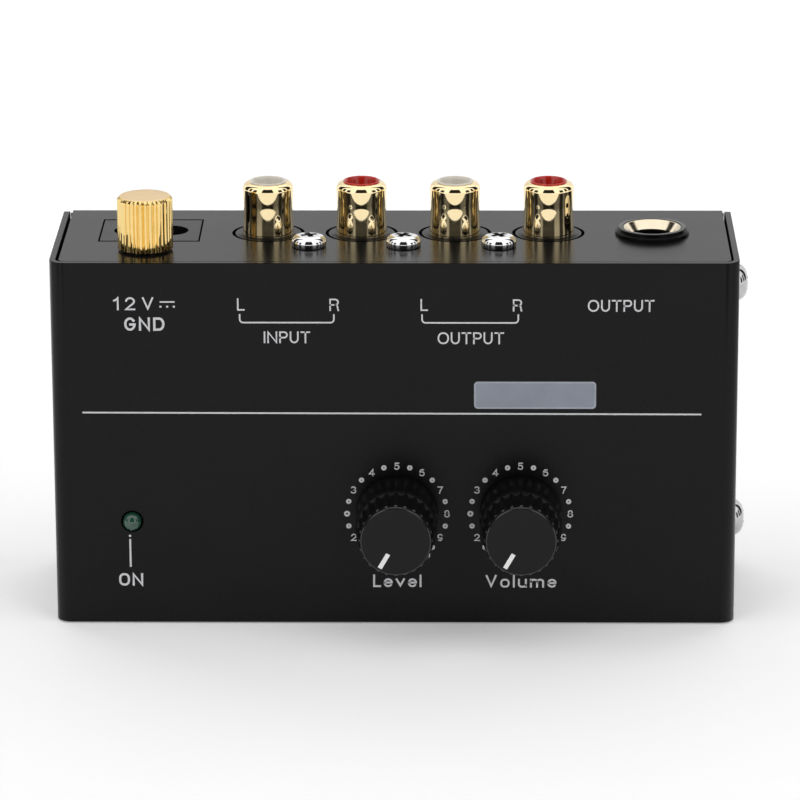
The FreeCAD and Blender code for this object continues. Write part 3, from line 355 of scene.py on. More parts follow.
def lathe(profile, seg, place, bend=None, groups=None, bm=None, closed=False):
    """Surface of revolution of an (radius, height) polyline. bend(theta, r, h) may move a point's radius."""
    bm = bm or bmesh.new()
    rings = []
    for r, h in profile:
        if r < 1e-6:
            v = bm.verts.new(place @ Vector((0, 0, h)) * MM)
            rings.append([v] * seg)
            continue
        ring = []
        for k in range(seg):
            th = 2 * math.pi * k / seg
            rr, hh = (bend(th, r, h) if bend else (r, h))
            ring.append(bm.verts.new(place @ Vector((rr * math.cos(th), rr * math.sin(th), hh)) * MM))
        rings.append(ring)
    pairs = list(zip(rings, rings[1:]))
    if closed:
        pairs.append((rings[-1], rings[0]))
    for j, (a, b) in enumerate(pairs):
        for k in range(seg):
            q = [a[k], a[(k + 1) % seg], b[(k + 1) % seg], b[k]]
            u = []
            for v in q:
                if v not in u:
                    u.append(v)
            if len(u) > 2:
                f = bm.faces.new(u)
                f.material_index = groups(j) if groups else 0
    return bm


def spline(pts, per=6):
    """Smooth curve through points (Catmull-Rom)."""
    p = [Vector(q) for q in pts]
    p = [p[0] * 2 - p[1]] + p + [p[-1] * 2 - p[-2]]
    out = []
    for i in range(1, len(p) - 2):
        for k in range(per):
            t = k / per
            a, b, c, d = p[i - 1], p[i], p[i + 1], p[i + 2]
            q = 0.5 * ((2 * b) + (c - a) * t + (2 * a - 5 * b + 4 * c - d) * t * t + (3 * b - a - 3 * c + d) * t ** 3)
            out.append((q.x, q.y))
    out.append((p[-2].x, p[-2].y))
    return out


def solid_strip(bm, pts, width, y0, y1, closed=False, square=True):
    """Flat ribbon along a path in the XZ plane, given a thickness between y0 and y1."""
    n = len(pts)
    if n < 2:
        return
    p = [Vector(q) for q in pts]
    if square and not closed:
        p[0] = p[0] + (p[0] - p[1]).normalized() * width / 2
        p[-1] = p[-1] + (p[-1] - p[-2]).normalized() * width / 2
    sides = []
    for i in range(n):
        a = p[i] - p[i - 1] if (i > 0 or closed) else p[1] - p[0]
        b = p[(i + 1) % n] - p[i] if (i < n - 1 or closed) else p[-1] - p[-2]
        a, b = a.normalized(), b.normalized()
        na, nb = Vector((-a.y, a.x)), Vector((-b.y, b.x))
        m = (na + nb)
        m = m.normalized() if m.length > 1e-6 else na
        k = (width / 2) / max(0.45, m.dot(na))
        sides.append((p[i] + m * k, p[i] - m * k))
    L = [[bm.verts.new(Vector((s[j].x, y, s[j].y)) * MM) for s in sides] for y in (y0, y1) for j in (0, 1)]
    back_l, back_r, front_l, front_r = L
    last = n if closed else n - 1
    for i in range(last):
        j = (i + 1) % n
        for a, b in ((front_l, front_r), (back_r, back_l), (back_l, front_l), (front_r, back_r)):
            bm.faces.new((a[i], a[j], b[j], b[i]))
    if not closed:
        bm.faces.new((front_l[0], front_r[0], back_r[0], back_l[0]))
        bm.faces.new((front_l[-1], back_l[-1], back_r[-1], front_r[-1]))


def arc(cx, cy, rx, ry, a0, a1, n=None):
    n = n or max(4, int(abs(a1 - a0) / 12))
    return [(cx + rx * math.cos(math.radians(a0 + (a1 - a0) * k / n)),
             cy + ry * math.sin(math.radians(a0 + (a1 - a0) * k / n))) for k in range(n + 1)]


def ring_path(cx, cy, rx, ry, power=2.0, n=32):
    out = []
    for k in range(n):
        t = 2 * math.pi * k / n
        c, s = math.cos(t), math.sin(t)
        out.append((cx + rx * math.copysign(abs(c) ** (2 / power), c), cy + ry * math.copysign(abs(s) ** (2 / power), s)))
    return out


# Letter skeletons in a unit box: (width for height 1, [(closed, points), ...]).
O = [(True, ring_path(0.5, 0.5, 0.5, 0.5, 2.5))]
GLYPH = {
    "I": (0.0, [(False, [(0.5, 0), (0.5, 1)])]),
    "L": (0.60, [(False, [(0, 1), (0, 0), (1, 0)])]),
    "T": (0.78, [(False, [(0, 1), (1, 1)]), (False, [(0.5, 1), (0.5, 0)])]),
    "N": (0.81, [(False, [(0, 0), (0, 1), (1, 0), (1, 1)])]),
    "V": (0.88, [(False, [(0.03, 1), (0.5, 0.06), (0.97, 1)])]),
    "U": (0.73, [(False, [(0, 1), (0, 0.36)] + arc(0.5, 0.36, 0.5, 0.36, 180, 360)[1:-1] + [(1, 0.36), (1, 1)])]),
    "P": (0.70, [(False, [(0, 0), (0, 1), (0.62, 1)] + arc(0.62, 0.735, 0.38, 0.265, 90, -90)[1:] + [(0, 0.47)])]),
    "R": (0.75, [(False, [(0, 0), (0, 1), (0.62, 1)] + arc(0.62, 0.745, 0.36, 0.255, 90, -90)[1:] + [(0, 0.49)]),
                 (False, [(0.62, 0.49)] + arc(0.62, 0.29, 0.30, 0.20, 90, 0)[1:] + [(0.95, 0.10), (1.0, 0.0)])]),
    "O": (0.92, [(True, ring_path(0.5, 0.5, 0.5, 0.5, 2.15))]),
    "Q": (0.83, O),
    "G": (0.83, [(False, arc(0.5, 0.5, 0.5, 0.5, 38, 340, 22) + [(1.0, 0.46), (0.55, 0.46)])]),
    "D": (0.82, [(True, [(0, 0), (0, 1), (0.50, 1)] + arc(0.50, 0.5, 0.5, 0.5, 90, -90)[1:-1] + [(0.50, 0)])]),
    "e": (1.0, [(False, [(0.02, 0.52), (0.98, 0.52)] + arc(0.5, 0.5, 0.5, 0.5, 8, 318, 24)[0:])]),
    "v": (1.08, [(False, [(0.04, 1), (0.5, 0.10), (0.96, 1)])]),
    "l": (0.0, [(False, [(0.5, 0), (0.5, 1)])]),
    "o": (1.02, [(True, ring_path(0.5, 0.5, 0.5, 0.5, 2.4))]),
    "u": (0.95, [(False, [(0, 1), (0, 0.34)] + arc(0.40, 0.34, 0.40, 0.34, 180, 270)[1:] + [(0.70, 0.0), (1, 0.22)]),
                 (False, [(1, 0), (1, 1)])]),
    "m": (1.52, [(False, [(0, 0), (0, 1)]),
                 (False, [(0, 0.72)] + arc(0.27, 0.72, 0.24, 0.28, 160, 0)[1:] + [(0.5, 0)]),
                 (False, [(0.5, 0.72)] + arc(0.76, 0.72, 0.24, 0.28, 160, 0)[1:] + [(1.0, 0)])]),
    "0": (0.74, [(True, ring_path(0.5, 0.5, 0.5, 0.5, 2.3))]),
    "1": (0.42, [(False, [(0.0, 0.78), (0.45, 0.84), (0.95, 1.0), (0.95, 0.0)])]),
    "2": (0.75, [(False, arc(0.5, 0.70, 0.48, 0.30, 168, -28, 14) + [(0.0, 0.0), (1, 0)])]),
    "3": (0.73, [(False, arc(0.46, 0.755, 0.44, 0.245, 150, -82, 12) + arc(0.46, 0.27, 0.52, 0.27, 80, -155, 13))]),
    "4": (0.78, [(False, [(0.72, 0), (0.72, 1), (0, 0.28), (1, 0.28)])]),
    "5": (0.73, [(False, [(0.92, 1), (0.16, 1), (0.08, 0.52)] + arc(0.47, 0.33, 0.51, 0.33, 135, -150, 15))]),
    "6": (0.73, [(True, ring_path(0.5, 0.31, 0.5, 0.31, 2.1)),
                 (False, [(0.0, 0.33), (0.04, 0.62), (0.20, 0.86), (0.48, 0.99), (0.86, 0.93)])]),
    "7": (0.72, [(False, [(0, 1), (1, 1), (0.55, 0.45), (0.34, 0)])]),
    "8": (0.74, [(True, ring_path(0.5, 0.755, 0.42, 0.245, 2.1)), (True, ring_path(0.5, 0.27, 0.5, 0.27, 2.1))]),
    "9": (0.73, [(True, ring_path(0.5, 0.69, 0.5, 0.31, 2.1)),
                 (False, [(1.0, 0.67), (0.96, 0.38), (0.80, 0.14), (0.52, 0.01), (0.14, 0.07)])]),
}
INK = 0.02
INK_Y0, INK_Y1 = FY + 0.01, FY - INK


def draw(bm, ch, x, z, w, h, pen):
    """One letter whose outer extents are w by h with its lower left corner at x, z."""
    for closed, pts in GLYPH[ch][1]:
        q = [(x + pen / 2 + a * (w - pen), z + pen / 2 + b * (h - pen)) for a, b in pts]
        solid_strip(bm, q, pen, INK_Y0, INK_Y1, closed)


def line_of_text(bm, text, x0, x1, z0, z1, pen, gap=0.26, low=None):
    """Text fitted between x0 and x1; low gives the share of the height of small letters."""
    h = z1 - z0
    cells = []
    for ch in text:
        hh = h * (low if (low and ch in "evoum") else 1.0)
        cells.append((ch, max(pen, GLYPH[ch][0] * hh), hh))
    spare = (x1 - x0) - sum(c[1] for c in cells)
    step = spare / max(1, len(cells) - 1)
    x = x0
    for ch, w, hh in cells:
        draw(bm, ch, x, z0, w, hh, pen)
        x += w + step


def legend(name, fill, slot="pointer_white", mat="print_grey"):
    bm = bmesh.new()
    fill(bm)
    o = new_object(name, bm, [mat], smooth=False)
    return settle(o, "housing", slot)


# ------------------------------------------------------------------ sheet metal: soften the cut edges
for nm in ("front_cover", "rear_chassis"):
    o = N[nm]
    w = o.modifiers.new("Join", "WELD")
    w.merge_threshold = 2e-6
    d = o.modifiers.new("Flat", "DECIMATE")
    d.decimate_type = "DISSOLVE"
    d.angle_limit = math.radians(0.4)
    b = o.modifiers.new("Edge", "BEVEL")
    b.width = (0.20 if nm == "front_cover" else 0.13) * MM
    b.segments = 2
    b.limit_method = "ANGLE"
    b.angle_limit = math.radians(50)
    b.use_clamp_overlap = True
    b.harden_normals = True
    # The front cover's bevels take the painted-shade edge, and the chassis bevels take the worn-paint edge.
    b.material = 2 if nm == "front_cover" else 1

# ------------------------------------------------------------------ phono sockets
def wall(z0, r0, tilts, dz=0.1):
    """Outer wall from its inward lean in degrees, given at some heights."""
    out, r, z = [(r0, z0)], r0, z0
    while z < tilts[-1][0] - 1e-6:
        zm = z + dz / 2
        for (a, ta), (b, tb) in zip(tilts, tilts[1:]):
            if a <= zm <= b:
                t = ta + (tb - ta) * (zm - a) / (b - a)
        r -= dz * math.tan(math.radians(t))
        z += dz
        out.append((r, z))
    return out


SHELL_OUT = wall(0.0, 4.125, [(0.0, 0.5), (0.6, 2.2), (1.8, 2.6), (3.0, 1.6), (3.8, 1.15), (4.4, 0.75), (4.75, -0.4), (5.1, -2.7),
                              (5.5, -3.3), (5.9, -3.0), (6.4, -2.6), (7.5, -2.2)], 0.05)
R_LIP, Z_LIP = SHELL_OUT[-1]
LIP = []
r_now, z_now = R_LIP, Z_LIP
for t, run in ((0, 0.08), (4, 0.07), (8, 0.07), (12, 0.11), (16, 0.11), (20, 0.11), (25, 0.11), (30, 0.10), (35, 0.09), (41, 0.09),
               (48, 0.10), (55, 0.11), (62, 0.12), (69, 0.13), (75, 0.14), (80, 0.15), (84, 0.15), (87, 0.15)):
    r_now -= run * math.sin(math.radians(t))
    z_now += run * math.cos(math.radians(t))
    LIP.append((r_now, z_now))
LIFT = 8.595 - LIP[-1][1]
LIP = [(r, z + LIFT * min(1.0, 0.2 + i / 8.0)) for i, (r, z) in enumerate(LIP)]
SHELL = ([(3.06, -9.9), (3.90, -9.9), (3.90, 0.0)] + SHELL_OUT + LIP
         + rounded([(3.10, 8.60), (3.03, 8.55, 0.03), (3.02, 8.40), (3.06, 8.2), (3.06, 7.0)], 3))
INSERT = rounded([(2.06, -9.9), (3.04, -9.9), (3.04, 8.1), (2.98, 8.45, 0.05), (2.94, 8.76, 0.10), (2.80, 8.85, 0.10), (2.62, 8.74, 0.10),
                  (2.40, 8.35, 0.3), (2.10, 7.4, 0.4), (1.80, 6.1, 0.2), (1.66, 5.6), (1.66, -1.0), (2.06, -1.0)], 5)
for x, key, red in zip(PHONO_X, ("input_left", "input_right", "output_left", "output_right"), (0, 1, 0, 1)):
    o = new_object("socket_shell_" + key, lathe(SHELL, 144, at(x, PHONO_Y, H), closed=True), ["gold"], angle=50)
    settle(o, "housing", "gold", key + "_shell")
    o = new_object("socket_insert_" + key, lathe(INSERT, 96, at(x, PHONO_Y, H), closed=True),
                   ["insert_red" if red else "insert_white"], angle=50)
    settle(o, "housing", "insert_red" if red else "insert_white", key + "_insert")


# ------------------------------------------------------------------ cross-head screws
def cutter(place, top, arm, half, deep, turns=(0, 1)):
    """Tapered bar of the cross for the drive recess. Its faces carry slot 1, the dark paint standing for the shade in
    the recess.
    """
    bm = bmesh.new()
    for turn in turns:
        lo, hi = [], []
        for sx, sy in ((-1, -1), (1, -1), (1, 1), (-1, 1)):
            for ring, z, k in ((lo, top - deep, 0.45), (hi, top + 0.6, 1.08)):
                a, b = sx * arm * k, sy * half * (0.75 if k < 1 else 1.12)
                if turn:
                    a, b = -b, a
                ring.append(bm.verts.new(place @ Vector((a, b, z)) * MM))
        bm.faces.new(lo[::-1]).material_index = 1
        bm.faces.new(hi).material_index = 1
        for i in range(4):
            j = (i + 1) % 4
            bm.faces.new((lo[i], lo[j], hi[j], hi[i])).material_index = 1
    bmesh.ops.recalc_face_normals(bm, faces=bm.faces)
    return bm


def cross_screw(bm_all, place, profile, top, arm, half, deep, spin):
    body = bpy.data.meshes.new("tmp_body")
    bm = lathe(profile, 96, place)
    bmesh.ops.recalc_face_normals(bm, faces=bm.faces)
    bm.to_mesh(body)
    bm.free()
    body.materials.append(M["screw_chrome"])
    body.materials.append(M["screw_recess_painted_shade"])
    a = bpy.data.objects.new("tmp_a", body)
    sc.collection.objects.link(a)
    tools = []
    for turn in (0, 1):
        tool = bpy.data.meshes.new("tmp_tool")
        bm = cutter(place @ Matrix.Rotation(math.radians(spin), 4, "Z"), top, arm * (1.0 if turn else 0.999), half, deep, (turn,))
        bm.to_mesh(tool)
        bm.free()
        tool.materials.append(M["screw_chrome"])
        tool.materials.append(M["screw_recess_painted_shade"])
        t = bpy.data.objects.new("tmp_t%d" % turn, tool)
        sc.collection.objects.link(t)
        tools.append(t)
        mod = a.modifiers.new("Cut", "BOOLEAN")
        mod.operation = "DIFFERENCE"
        mod.solver = "EXACT"
        mod.object = t
    dg = bpy.context.evaluated_depsgraph_get()
    made = bpy.data.meshes.new_from_object(a.evaluated_get(dg))
    bm_all.from_mesh(made)
    for x in [a] + tools:
        old = x.data
        bpy.data.objects.remove(x)
        bpy.data.meshes.remove(old)
    bpy.data.meshes.remove(made)


dome = [(0.0, -9.4), (1.44, -9.4), (1.44, 0.02), (2.66, 0.02), (2.76, 0.08), (2.80, 0.20), (2.80, 0.84), (2.79, 0.94),
        (2.74, 1.10), (2.66, 1.26), (2.55, 1.42), (2.42, 1.58), (2.30, 1.68), (2.20, 1.74), (2.04, 1.80), (1.80, 1.86),
        (1.50, 1.905), (1.20, 1.93), (0.90, 1.94), (0.45, 1.945), (0.0, 1.95)]
bm = bmesh.new()
for x, spin in zip(SCREW_X, (20.0, 62.0, 34.0)):
    cross_screw(bm, at(x, SCREW_Y, H), dome, 1.94, 1.52, 0.46, 1.3, spin)
# Slot 1 is the painted shade in the cross recess.
o = new_object("panel_screw_heads", bm, ["screw_chrome", "screw_recess_painted_shade"], angle=28)
settle(o, "housing", "screw_chrome", "panel_screws")
dome = [(0.0, -4.3), (1.44, -4.3), (1.44, 0.02), (2.92, 0.02), (3.06, 0.10), (3.10, 0.26), (3.10, 0.75), (3.02, 1.12),
        (2.84, 1.50), (2.58, 1.84), (2.26, 2.12), (1.90, 2.32), (1.50, 2.45), (1.05, 2.54), (0.5, 2.59), (0.0, 2.6)]
bm = bmesh.new()
for z, spin in zip(SIDE_Z, (15.0, 50.0)):
    cross_screw(bm, at(W / 2, SIDE_Y, z, RIGHT), dome, 2.58, 1.75, 0.42, 1.3, spin)
# The side screws take the darker copy of the chrome, painted shade.
o = new_object("side_screw_heads", bm, ["screw_chrome_shaded_copy", "screw_recess_painted_shade"], angle=28)
settle(o, "housing", "screw_chrome", "side_screws")

# ------------------------------------------------------------------ large jack
BUSH = rounded([(3.34, -8.9), (4.58, -8.9), (4.58, 0.5), (4.66, 1.04, 0.04), (4.60, 1.13, 0.05), (4.50, 1.08, 0.05),
                (3.58, -0.02, 0.10), (3.42, -0.20, 0.06), (3.34, -0.45, 0.06), (3.34, -1.4)], 4)
# The bore below the mouth takes the darker, duller black: painted shade inside the hole.
o = new_object("jack_mouth", lathe(BUSH, 128, at(*JACK, H), closed=True,
                                   groups=lambda j: 1 if BUSH[j][0] < 3.5 and BUSH[j][1] < -0.16 else 0),
               ["jack_nickel", "ring_black_shaded_copy"], angle=40)
settle(o, "housing", "jack_nickel", "jack_bushing")
RING = rounded([(4.70, 0.0), (6.00, 0.0), (5.96, 0.42, 0.05), (5.62, 0.62, 0.06), (5.42, 1.15, 0.05), (4.80, 1.18, 0.05), (4.70, 1.08)], 4)
# The collar's outer side takes the darker, duller copy of its black: painted shade.
o = new_object("jack_collar", lathe(RING, 128, at(*JACK, H), closed=True,
                                    groups=lambda j: 1 if RING[j][0] > 5.30 and RING[j][1] < 1.125 else 0),
               ["ring_black", "ring_black_shaded_copy"], angle=50)
settle(o, "housing", "ring_black", "jack_ring_nut")

# ------------------------------------------------------------------ knurled thumb nut
rng = random.Random(11)
TEETH = 36
start = [i + rng.uniform(-0.16, 0.16) for i in range(TEETH)]
deepness = [rng.uniform(0.75, 1.1) for _ in range(TEETH)]
SEG = TEETH * 12
NUT_BASE = [(2.00, 0.2), (4.20, 0.2), (4.26, 0.22), (4.42, 0.36)]
NUT_SIDE = [(4.45, 0.40 + 0.53 * k) for k in range(15)]
NUT_TOP = [(4.45, 8.40), (4.42, 8.46), (4.10, 8.80), (4.03, 8.86), (3.96, 8.885)]
NUT_CAP = [(2.6, 8.895), (1.2, 8.90), (0.0, 8.90)]
NUT = NUT_BASE + NUT_SIDE + NUT_TOP + NUT_CAP
side_from = len(NUT_BASE)
cap_from = side_from + len(NUT_SIDE) + len(NUT_TOP) - 1


def knurl(th, r, h):
    if r < 4.0:
        return r, h
    a = th / (2 * math.pi) * TEETH
    i = int(a) % TEETH
    lo = start[i]
    hi = start[(i + 1) % TEETH] + (TEETH if i == TEETH - 1 else 0)
    x = a if a >= lo else a + (TEETH if i == 0 else 0)
    if a < lo:
        i = (i - 1) % TEETH
        hi = lo if lo > 0 else lo + TEETH
        lo = start[i] if start[i] < hi else start[i] - TEETH
        x = a if a >= lo else a + TEETH
    t = min(1.0, max(0.0, (x - lo) / max(1e-6, hi - lo)))
    v = abs(2 * t - 1)
    cut = max(0.0, (v - 0.42) / 0.58)
    d = 0.34 * deepness[i] * cut
    fade = min(1.0, max(0.0, (r - 4.0) / 0.35))
    return r - d * fade, h


o = new_object("thumb_nut_knurled", lathe(NUT, SEG, at(*GROUND, H), bend=knurl,
                                          groups=lambda j: 1 if j >= cap_from else 0), ["gold_nut", "gold_face"], angle=24)
bm = bmesh.new()
bm.from_mesh(o.data)
inner = rounded([(2.00, 0.2), (2.00, 7.6), (0.0, 7.7)], 2)
lathe(inner, SEG, at(*GROUND, H), bm=bm)
bmesh.ops.remove_doubles(bm, verts=bm.verts, dist=1e-7)
bmesh.ops.recalc_face_normals(bm, faces=bm.faces)
bm.to_mesh(o.data)
bm.free()
o.data.shade_smooth()
o.data.set_sharp_from_angle(angle=math.radians(24))
settle(o, "ground_nut", "gold", "ground_thumb_nut")

# ------------------------------------------------------------------ knobs
KH = 13.7
FL = 24
KSEG = FL * 14
GRIP_H = [7.42, 7.52, 7.64, 7.78, 8.2, 9.0, 9.8, 10.6, 11.4, 12.1, 12.6, 12.85, 13.0, 13.1, 13.17, 13.22]
GRIP = [(6.20 - 0.24 * (h - 7.42) / 5.8, h) for h in GRIP_H]
KNOB = (rounded([(5.5, 6.2), (5.5, 0.0), (6.6, 0.0, 0.12), (6.54, 7.36, 0.05), (6.22, 7.40)], 3)
        + GRIP + rounded([(5.74, 13.26), (5.73, 13.32, 0.03), (5.60, 13.60, 0.06), (5.44, 13.70)], 3))


def flutes(th, r, h):
    """Scoops between narrow ribs; ribs round off behind the face, scoops run out on the skirt."""
    if h < 7.41 or h > 13.23:
        return r, h
    u = (th / (2 * math.pi) * FL) % 1.0
    x = abs(u - 0.5) * 2
    rib = max(0.0, (x - 0.58) / 0.42)
    scoop = 0.36 * math.sqrt(max(0.0, 1 - (x / 0.72) ** 2)) if x < 0.72 else 0.0
    run = min(1.0, max(0.0, (h - 7.42) / 0.20)) ** 0.5
    nose = min(1.0, max(0.0, (13.24 - h) / 0.42))
    nose = math.sqrt(max(0.0, 1 - (1 - nose) ** 2))
    floor_r = 5.72
    rr = r - scoop * run
    return floor_r + (rr - floor_r) * nose if h > 12.8 else rr, h


for nm, x in zip(("level", "volume"), KNOB_X):
    place = at(x, FY - 0.5, KNOB_Z, FRONT @ Matrix.Rotation(math.radians(150), 4, "Z"))
    # The face rim and rib ends take the lighter, glossier copy of the knob black: painted highlight.
    last = len(KNOB)
    # The skirt takes the darker, duller copy of the knob black: painted shade.
    bm = lathe(KNOB, KSEG, place, bend=flutes, groups=lambda j: 1 if KNOB[j][1] > 12.9 else (2 if KNOB[j][1] < 7.38 else 0))
    # Face with a slot for the pointer.
    rim = [place @ Vector((5.44 * math.cos(2 * math.pi * k / KSEG), 5.44 * math.sin(2 * math.pi * k / KSEG), KH)) * MM
           for k in range(KSEG)]
    slot_z = (KH, KH - 0.33)
    corners = [(0.36, 2.38), (0.36, 5.14), (-0.36, 5.14), (-0.36, 2.38)]
    face = [bm.verts.new(p) for p in rim]
    top = [bm.verts.new(place @ Vector((a, b, slot_z[0])) * MM) for a, b in corners]
    bot = [bm.verts.new(place @ Vector((a, b, slot_z[1])) * MM) for a, b in corners]
    geo = [bm.edges.new((face[k], face[(k + 1) % KSEG])) for k in range(KSEG)]
    geo += [bm.edges.new((top[k], top[(k + 1) % 4])) for k in range(4)]
    bmesh.ops.triangle_fill(bm, use_beauty=True, edges=geo)
    for k in range(4):
        j = (k + 1) % 4
        bm.faces.new((top[k], top[j], bot[j], bot[k]))
    bm.faces.new(bot)
    # Inside: hub with the bore for the shaft, and the hollow round it.
    lathe([(5.5, 6.2), (4.4, 6.2), (4.4, 0.8), (3.05, 0.8), (3.05, 11.5), (0.0, 11.5)], KSEG, place, bm=bm)
    bmesh.ops.remove_doubles(bm, verts=bm.verts, dist=2e-7)
    o = new_object(nm + "_knob_moulding", bm, ["knob_black", "knob_black_lit_copy", "knob_skirt"], angle=26)
    settle(o, nm + "_control", "knob_black", nm + "_knob")

# ------------------------------------------------------------------ lamp
LENS = ([(0.0, -3.78), (1.90, -3.78), (1.90, -2.82), (1.50, -2.80), (1.50, -0.4), (1.50, 0.12)]
        + [(1.50 * math.cos(math.radians(a)), 0.12 + 1.37 * math.sin(math.radians(a))) for a in range(6, 90, 6)]
        + [(0.0, 1.49)])
o = new_object("lamp_dome", lathe(LENS, 96, at(LAMP[0], FY, LAMP[1], FRONT)), ["lamp_green"], angle=40)
settle(o, "housing", "lamp_green", "lamp_lens")

# ------------------------------------------------------------------ printing on the control face
PEN = 0.27


def fill_line(bm):
    solid_strip(bm, [(-50.05, 35.56), (49.15, 35.36)], 0.27, INK_Y0, INK_Y1, square=False)


def fill_power(bm):
    line_of_text(bm, "12", -44.75, -41.25, 52.62, 54.78, 0.30)
    line_of_text(bm, "V", -40.20, -38.30, 52.62, 54.78, 0.30)
    solid_strip(bm, [(-37.35, 54.0), (-34.95, 54.0)], 0.24, INK_Y0, INK_Y1, square=False)
    for x in (-37.22, -36.15, -35.08):
        solid_strip(bm, [(x - 0.16, 53.22), (x + 0.16, 53.22)], 0.30, INK_Y0, INK_Y1, square=False)


def fill_ground(bm):
    line_of_text(bm, "GND", -43.07, -36.62, 49.22, 51.44, 0.38)


def bracket(bm, xa, xb, za, zb, r=0.55, pen=0.25):
    pts = ([(xa, za)] + arc(xa + r, zb + r, r, r, 180, 270, 6) + arc(xb - r, zb + r, r, r, 270, 360, 6) + [(xb, za)])
    solid_strip(bm, pts, pen, INK_Y0, INK_Y1, square=False)


def fill_input(bm):
    line_of_text(bm, "L", -25.02, -23.80, 52.58, 54.60, 0.25)
    line_of_text(bm, "R", -10.30, -8.78, 52.52, 54.56, 0.25)
    bracket(bm, -24.62, -9.60, 52.0, 50.60)
    line_of_text(bm, "INPUT", -20.82, -13.40, 47.18, 49.14, 0.26)


def fill_output(bm):
    line_of_text(bm, "L", 4.20, 5.42, 52.55, 54.52, 0.25)
    line_of_text(bm, "R", 18.90, 20.42, 52.48, 54.48, 0.25)
    bracket(bm, 4.45, 19.78, 52.0, 50.58)
    line_of_text(bm, "OUTPUT", 6.92, 17.52, 47.04, 49.02, 0.26)


def fill_jack(bm):
    line_of_text(bm, "OUTPUT", 30.83, 41.42, 52.44, 54.40, 0.26)


def fill_on(bm):
    line_of_text(bm, "QN", -44.72, -40.80, 6.22, 8.36, 0.36)
    solid_strip(bm, [(-42.80, 14.20), (-42.78, 9.45)], 0.30, INK_Y0, INK_Y1, square=False)
    solid_strip(bm, [(-42.81, 14.90), (-42.81, 14.56)], 0.34, INK_Y0, INK_Y1, square=False)


def fill_level(bm):
    line_of_text(bm, "Level", -3.55, 4.28, 6.05, 8.18, 0.31, low=0.70)


def fill_volume(bm):
    line_of_text(bm, "Volume", 14.62, 26.14, 6.0, 8.14, 0.31, low=0.70)


def scale(bm, cx, cz, r=8.05):
    for text, a in (("1", -150), ("2", -120), ("3", -60), ("4", -30), ("5", 0), ("6", 30), ("7", 60), ("8", 90),
                    ("9", 120), ("10", 150)):
        x = cx + r * math.sin(math.radians(a))
        z = cz + r * math.cos(math.radians(a))
        h, pen = 1.22, 0.185
        ws = [GLYPH[c][0] * h for c in text]
        total = sum(ws) + 0.18 * (len(ws) - 1)
        px = x - total / 2 + (0.5 if text == "10" else 0.0)
        for c, w in zip(text, ws):
            draw(bm, c, px, z - h / 2, w, h, pen)
            px += w + 0.18
    for a, big in [(s * k, 0) for s in (-1, 1) for k in (15, 45, 75, 105, 135)] + [(-90, 1)]:
        x = cx + r * math.sin(math.radians(a))
        z = cz + r * math.cos(math.radians(a))
        ro = 0.49 if big else 0.43
        ri = 0.16 if big else 0.11
        solid_strip(bm, ring_path(x, z, (ro + ri) / 2, (ro + ri) / 2, 2.0, 24), ro - ri, INK_Y0, INK_Y1, closed=True)


legend("print_long_line", fill_line)
legend("print_power", fill_power)
legend("print_ground", fill_ground)
legend("print_input", fill_input)
legend("print_output", fill_output)
legend("print_jack", fill_jack)
legend("print_lamp", fill_on)
legend("print_level", fill_level)
legend("print_volume", fill_volume)
legend("print_level_scale", lambda bm: scale(bm, 0.35, 18.55))
legend("print_volume_scale", lambda bm: scale(bm, 20.23, 18.57))

# Plain rounded plate in silver ink, with a slightly lighter rim.
def plate_loop(x0, x1, z0, z1, r):
    return (arc(x1 - r, z1 - r, r, r, 0, 90, 8) + arc(x0 + r, z1 - r, r, r, 90, 180, 8)
            + arc(x0 + r, z0 + r, r, r, 180, 270, 8) + arc(x1 - r, z0 + r, r, r, 270, 360, 8))


bm = bmesh.new()
loops = []
for inset, y in ((0.0, FY + 0.01), (0.0, FY - 0.020), (0.06, FY - 0.030), (0.20, FY - 0.030), (0.26, FY - 0.022)):
    loops.append([bm.verts.new(Vector((a, y, b)) * MM)
                  for a, b in plate_loop(12.75 + inset, 32.27 - inset, 36.27 + inset, 40.80 - inset, 0.62 - inset * 0.9)])
for la, lb in zip(loops, loops[1:]):
    for k in range(len(la)):
        j = (k + 1) % len(la)
        bm.faces.new((la[k], la[j], lb[j], lb[k])).material_index = 1
bm.faces.new(loops[-1])
bm.faces.new(loops[0][::-1])
o = new_object("badge_blank", bm, ["badge_plate", "badge_rim"], smooth=False)
settle(o, "housing", "pointer_white")

# ------------------------------------------------------------------ floor, light, camera
fm = material("floor_pale", (0.93, 0.93, 0.93), (0.90, 0.90, 0.90), (0.75, 0.85), spec=0.1, blotch=8.0, grain=900.0, bump=0.02,
              depth=0.05)
fb = [n for n in fm.node_tree.nodes if n.type == "BSDF_PRINCIPLED"][0]
fb.inputs["Emission Color"].default_value = (1.0, 1.0, 1.0, 1.0)
fb.inputs["Emission Strength"].default_value = 0.20
bm = bmesh.new()
ring = [bm.verts.new((3.2 * math.cos(2 * math.pi * k / 64), 3.2 * math.sin(2 * math.pi * k / 64), -0.0002)) for k in range(64)]
bm.faces.new(ring)
me = bpy.data.meshes.new("floor")
bm.to_mesh(me)
bm.free()
me.materials.append(fm)
floor = bpy.data.objects.new("floor", me)
sc.collection.objects.link(floor)

world = bpy.data.worlds.new("studio")
sc.world = world
world.use_nodes = True
nt = world.node_tree
nt.nodes.clear()
wo = nt.nodes.new("ShaderNodeOutputWorld")
bg = nt.nodes.new("ShaderNodeBackground")
nt.links.new(bg.outputs[0], wo.inputs[0])
tc = nt.nodes.new("ShaderNodeTexCoord")
sp = nt.nodes.new("ShaderNodeSeparateXYZ")
nt.links.new(tc.outputs["Generated"], sp.inputs[0])


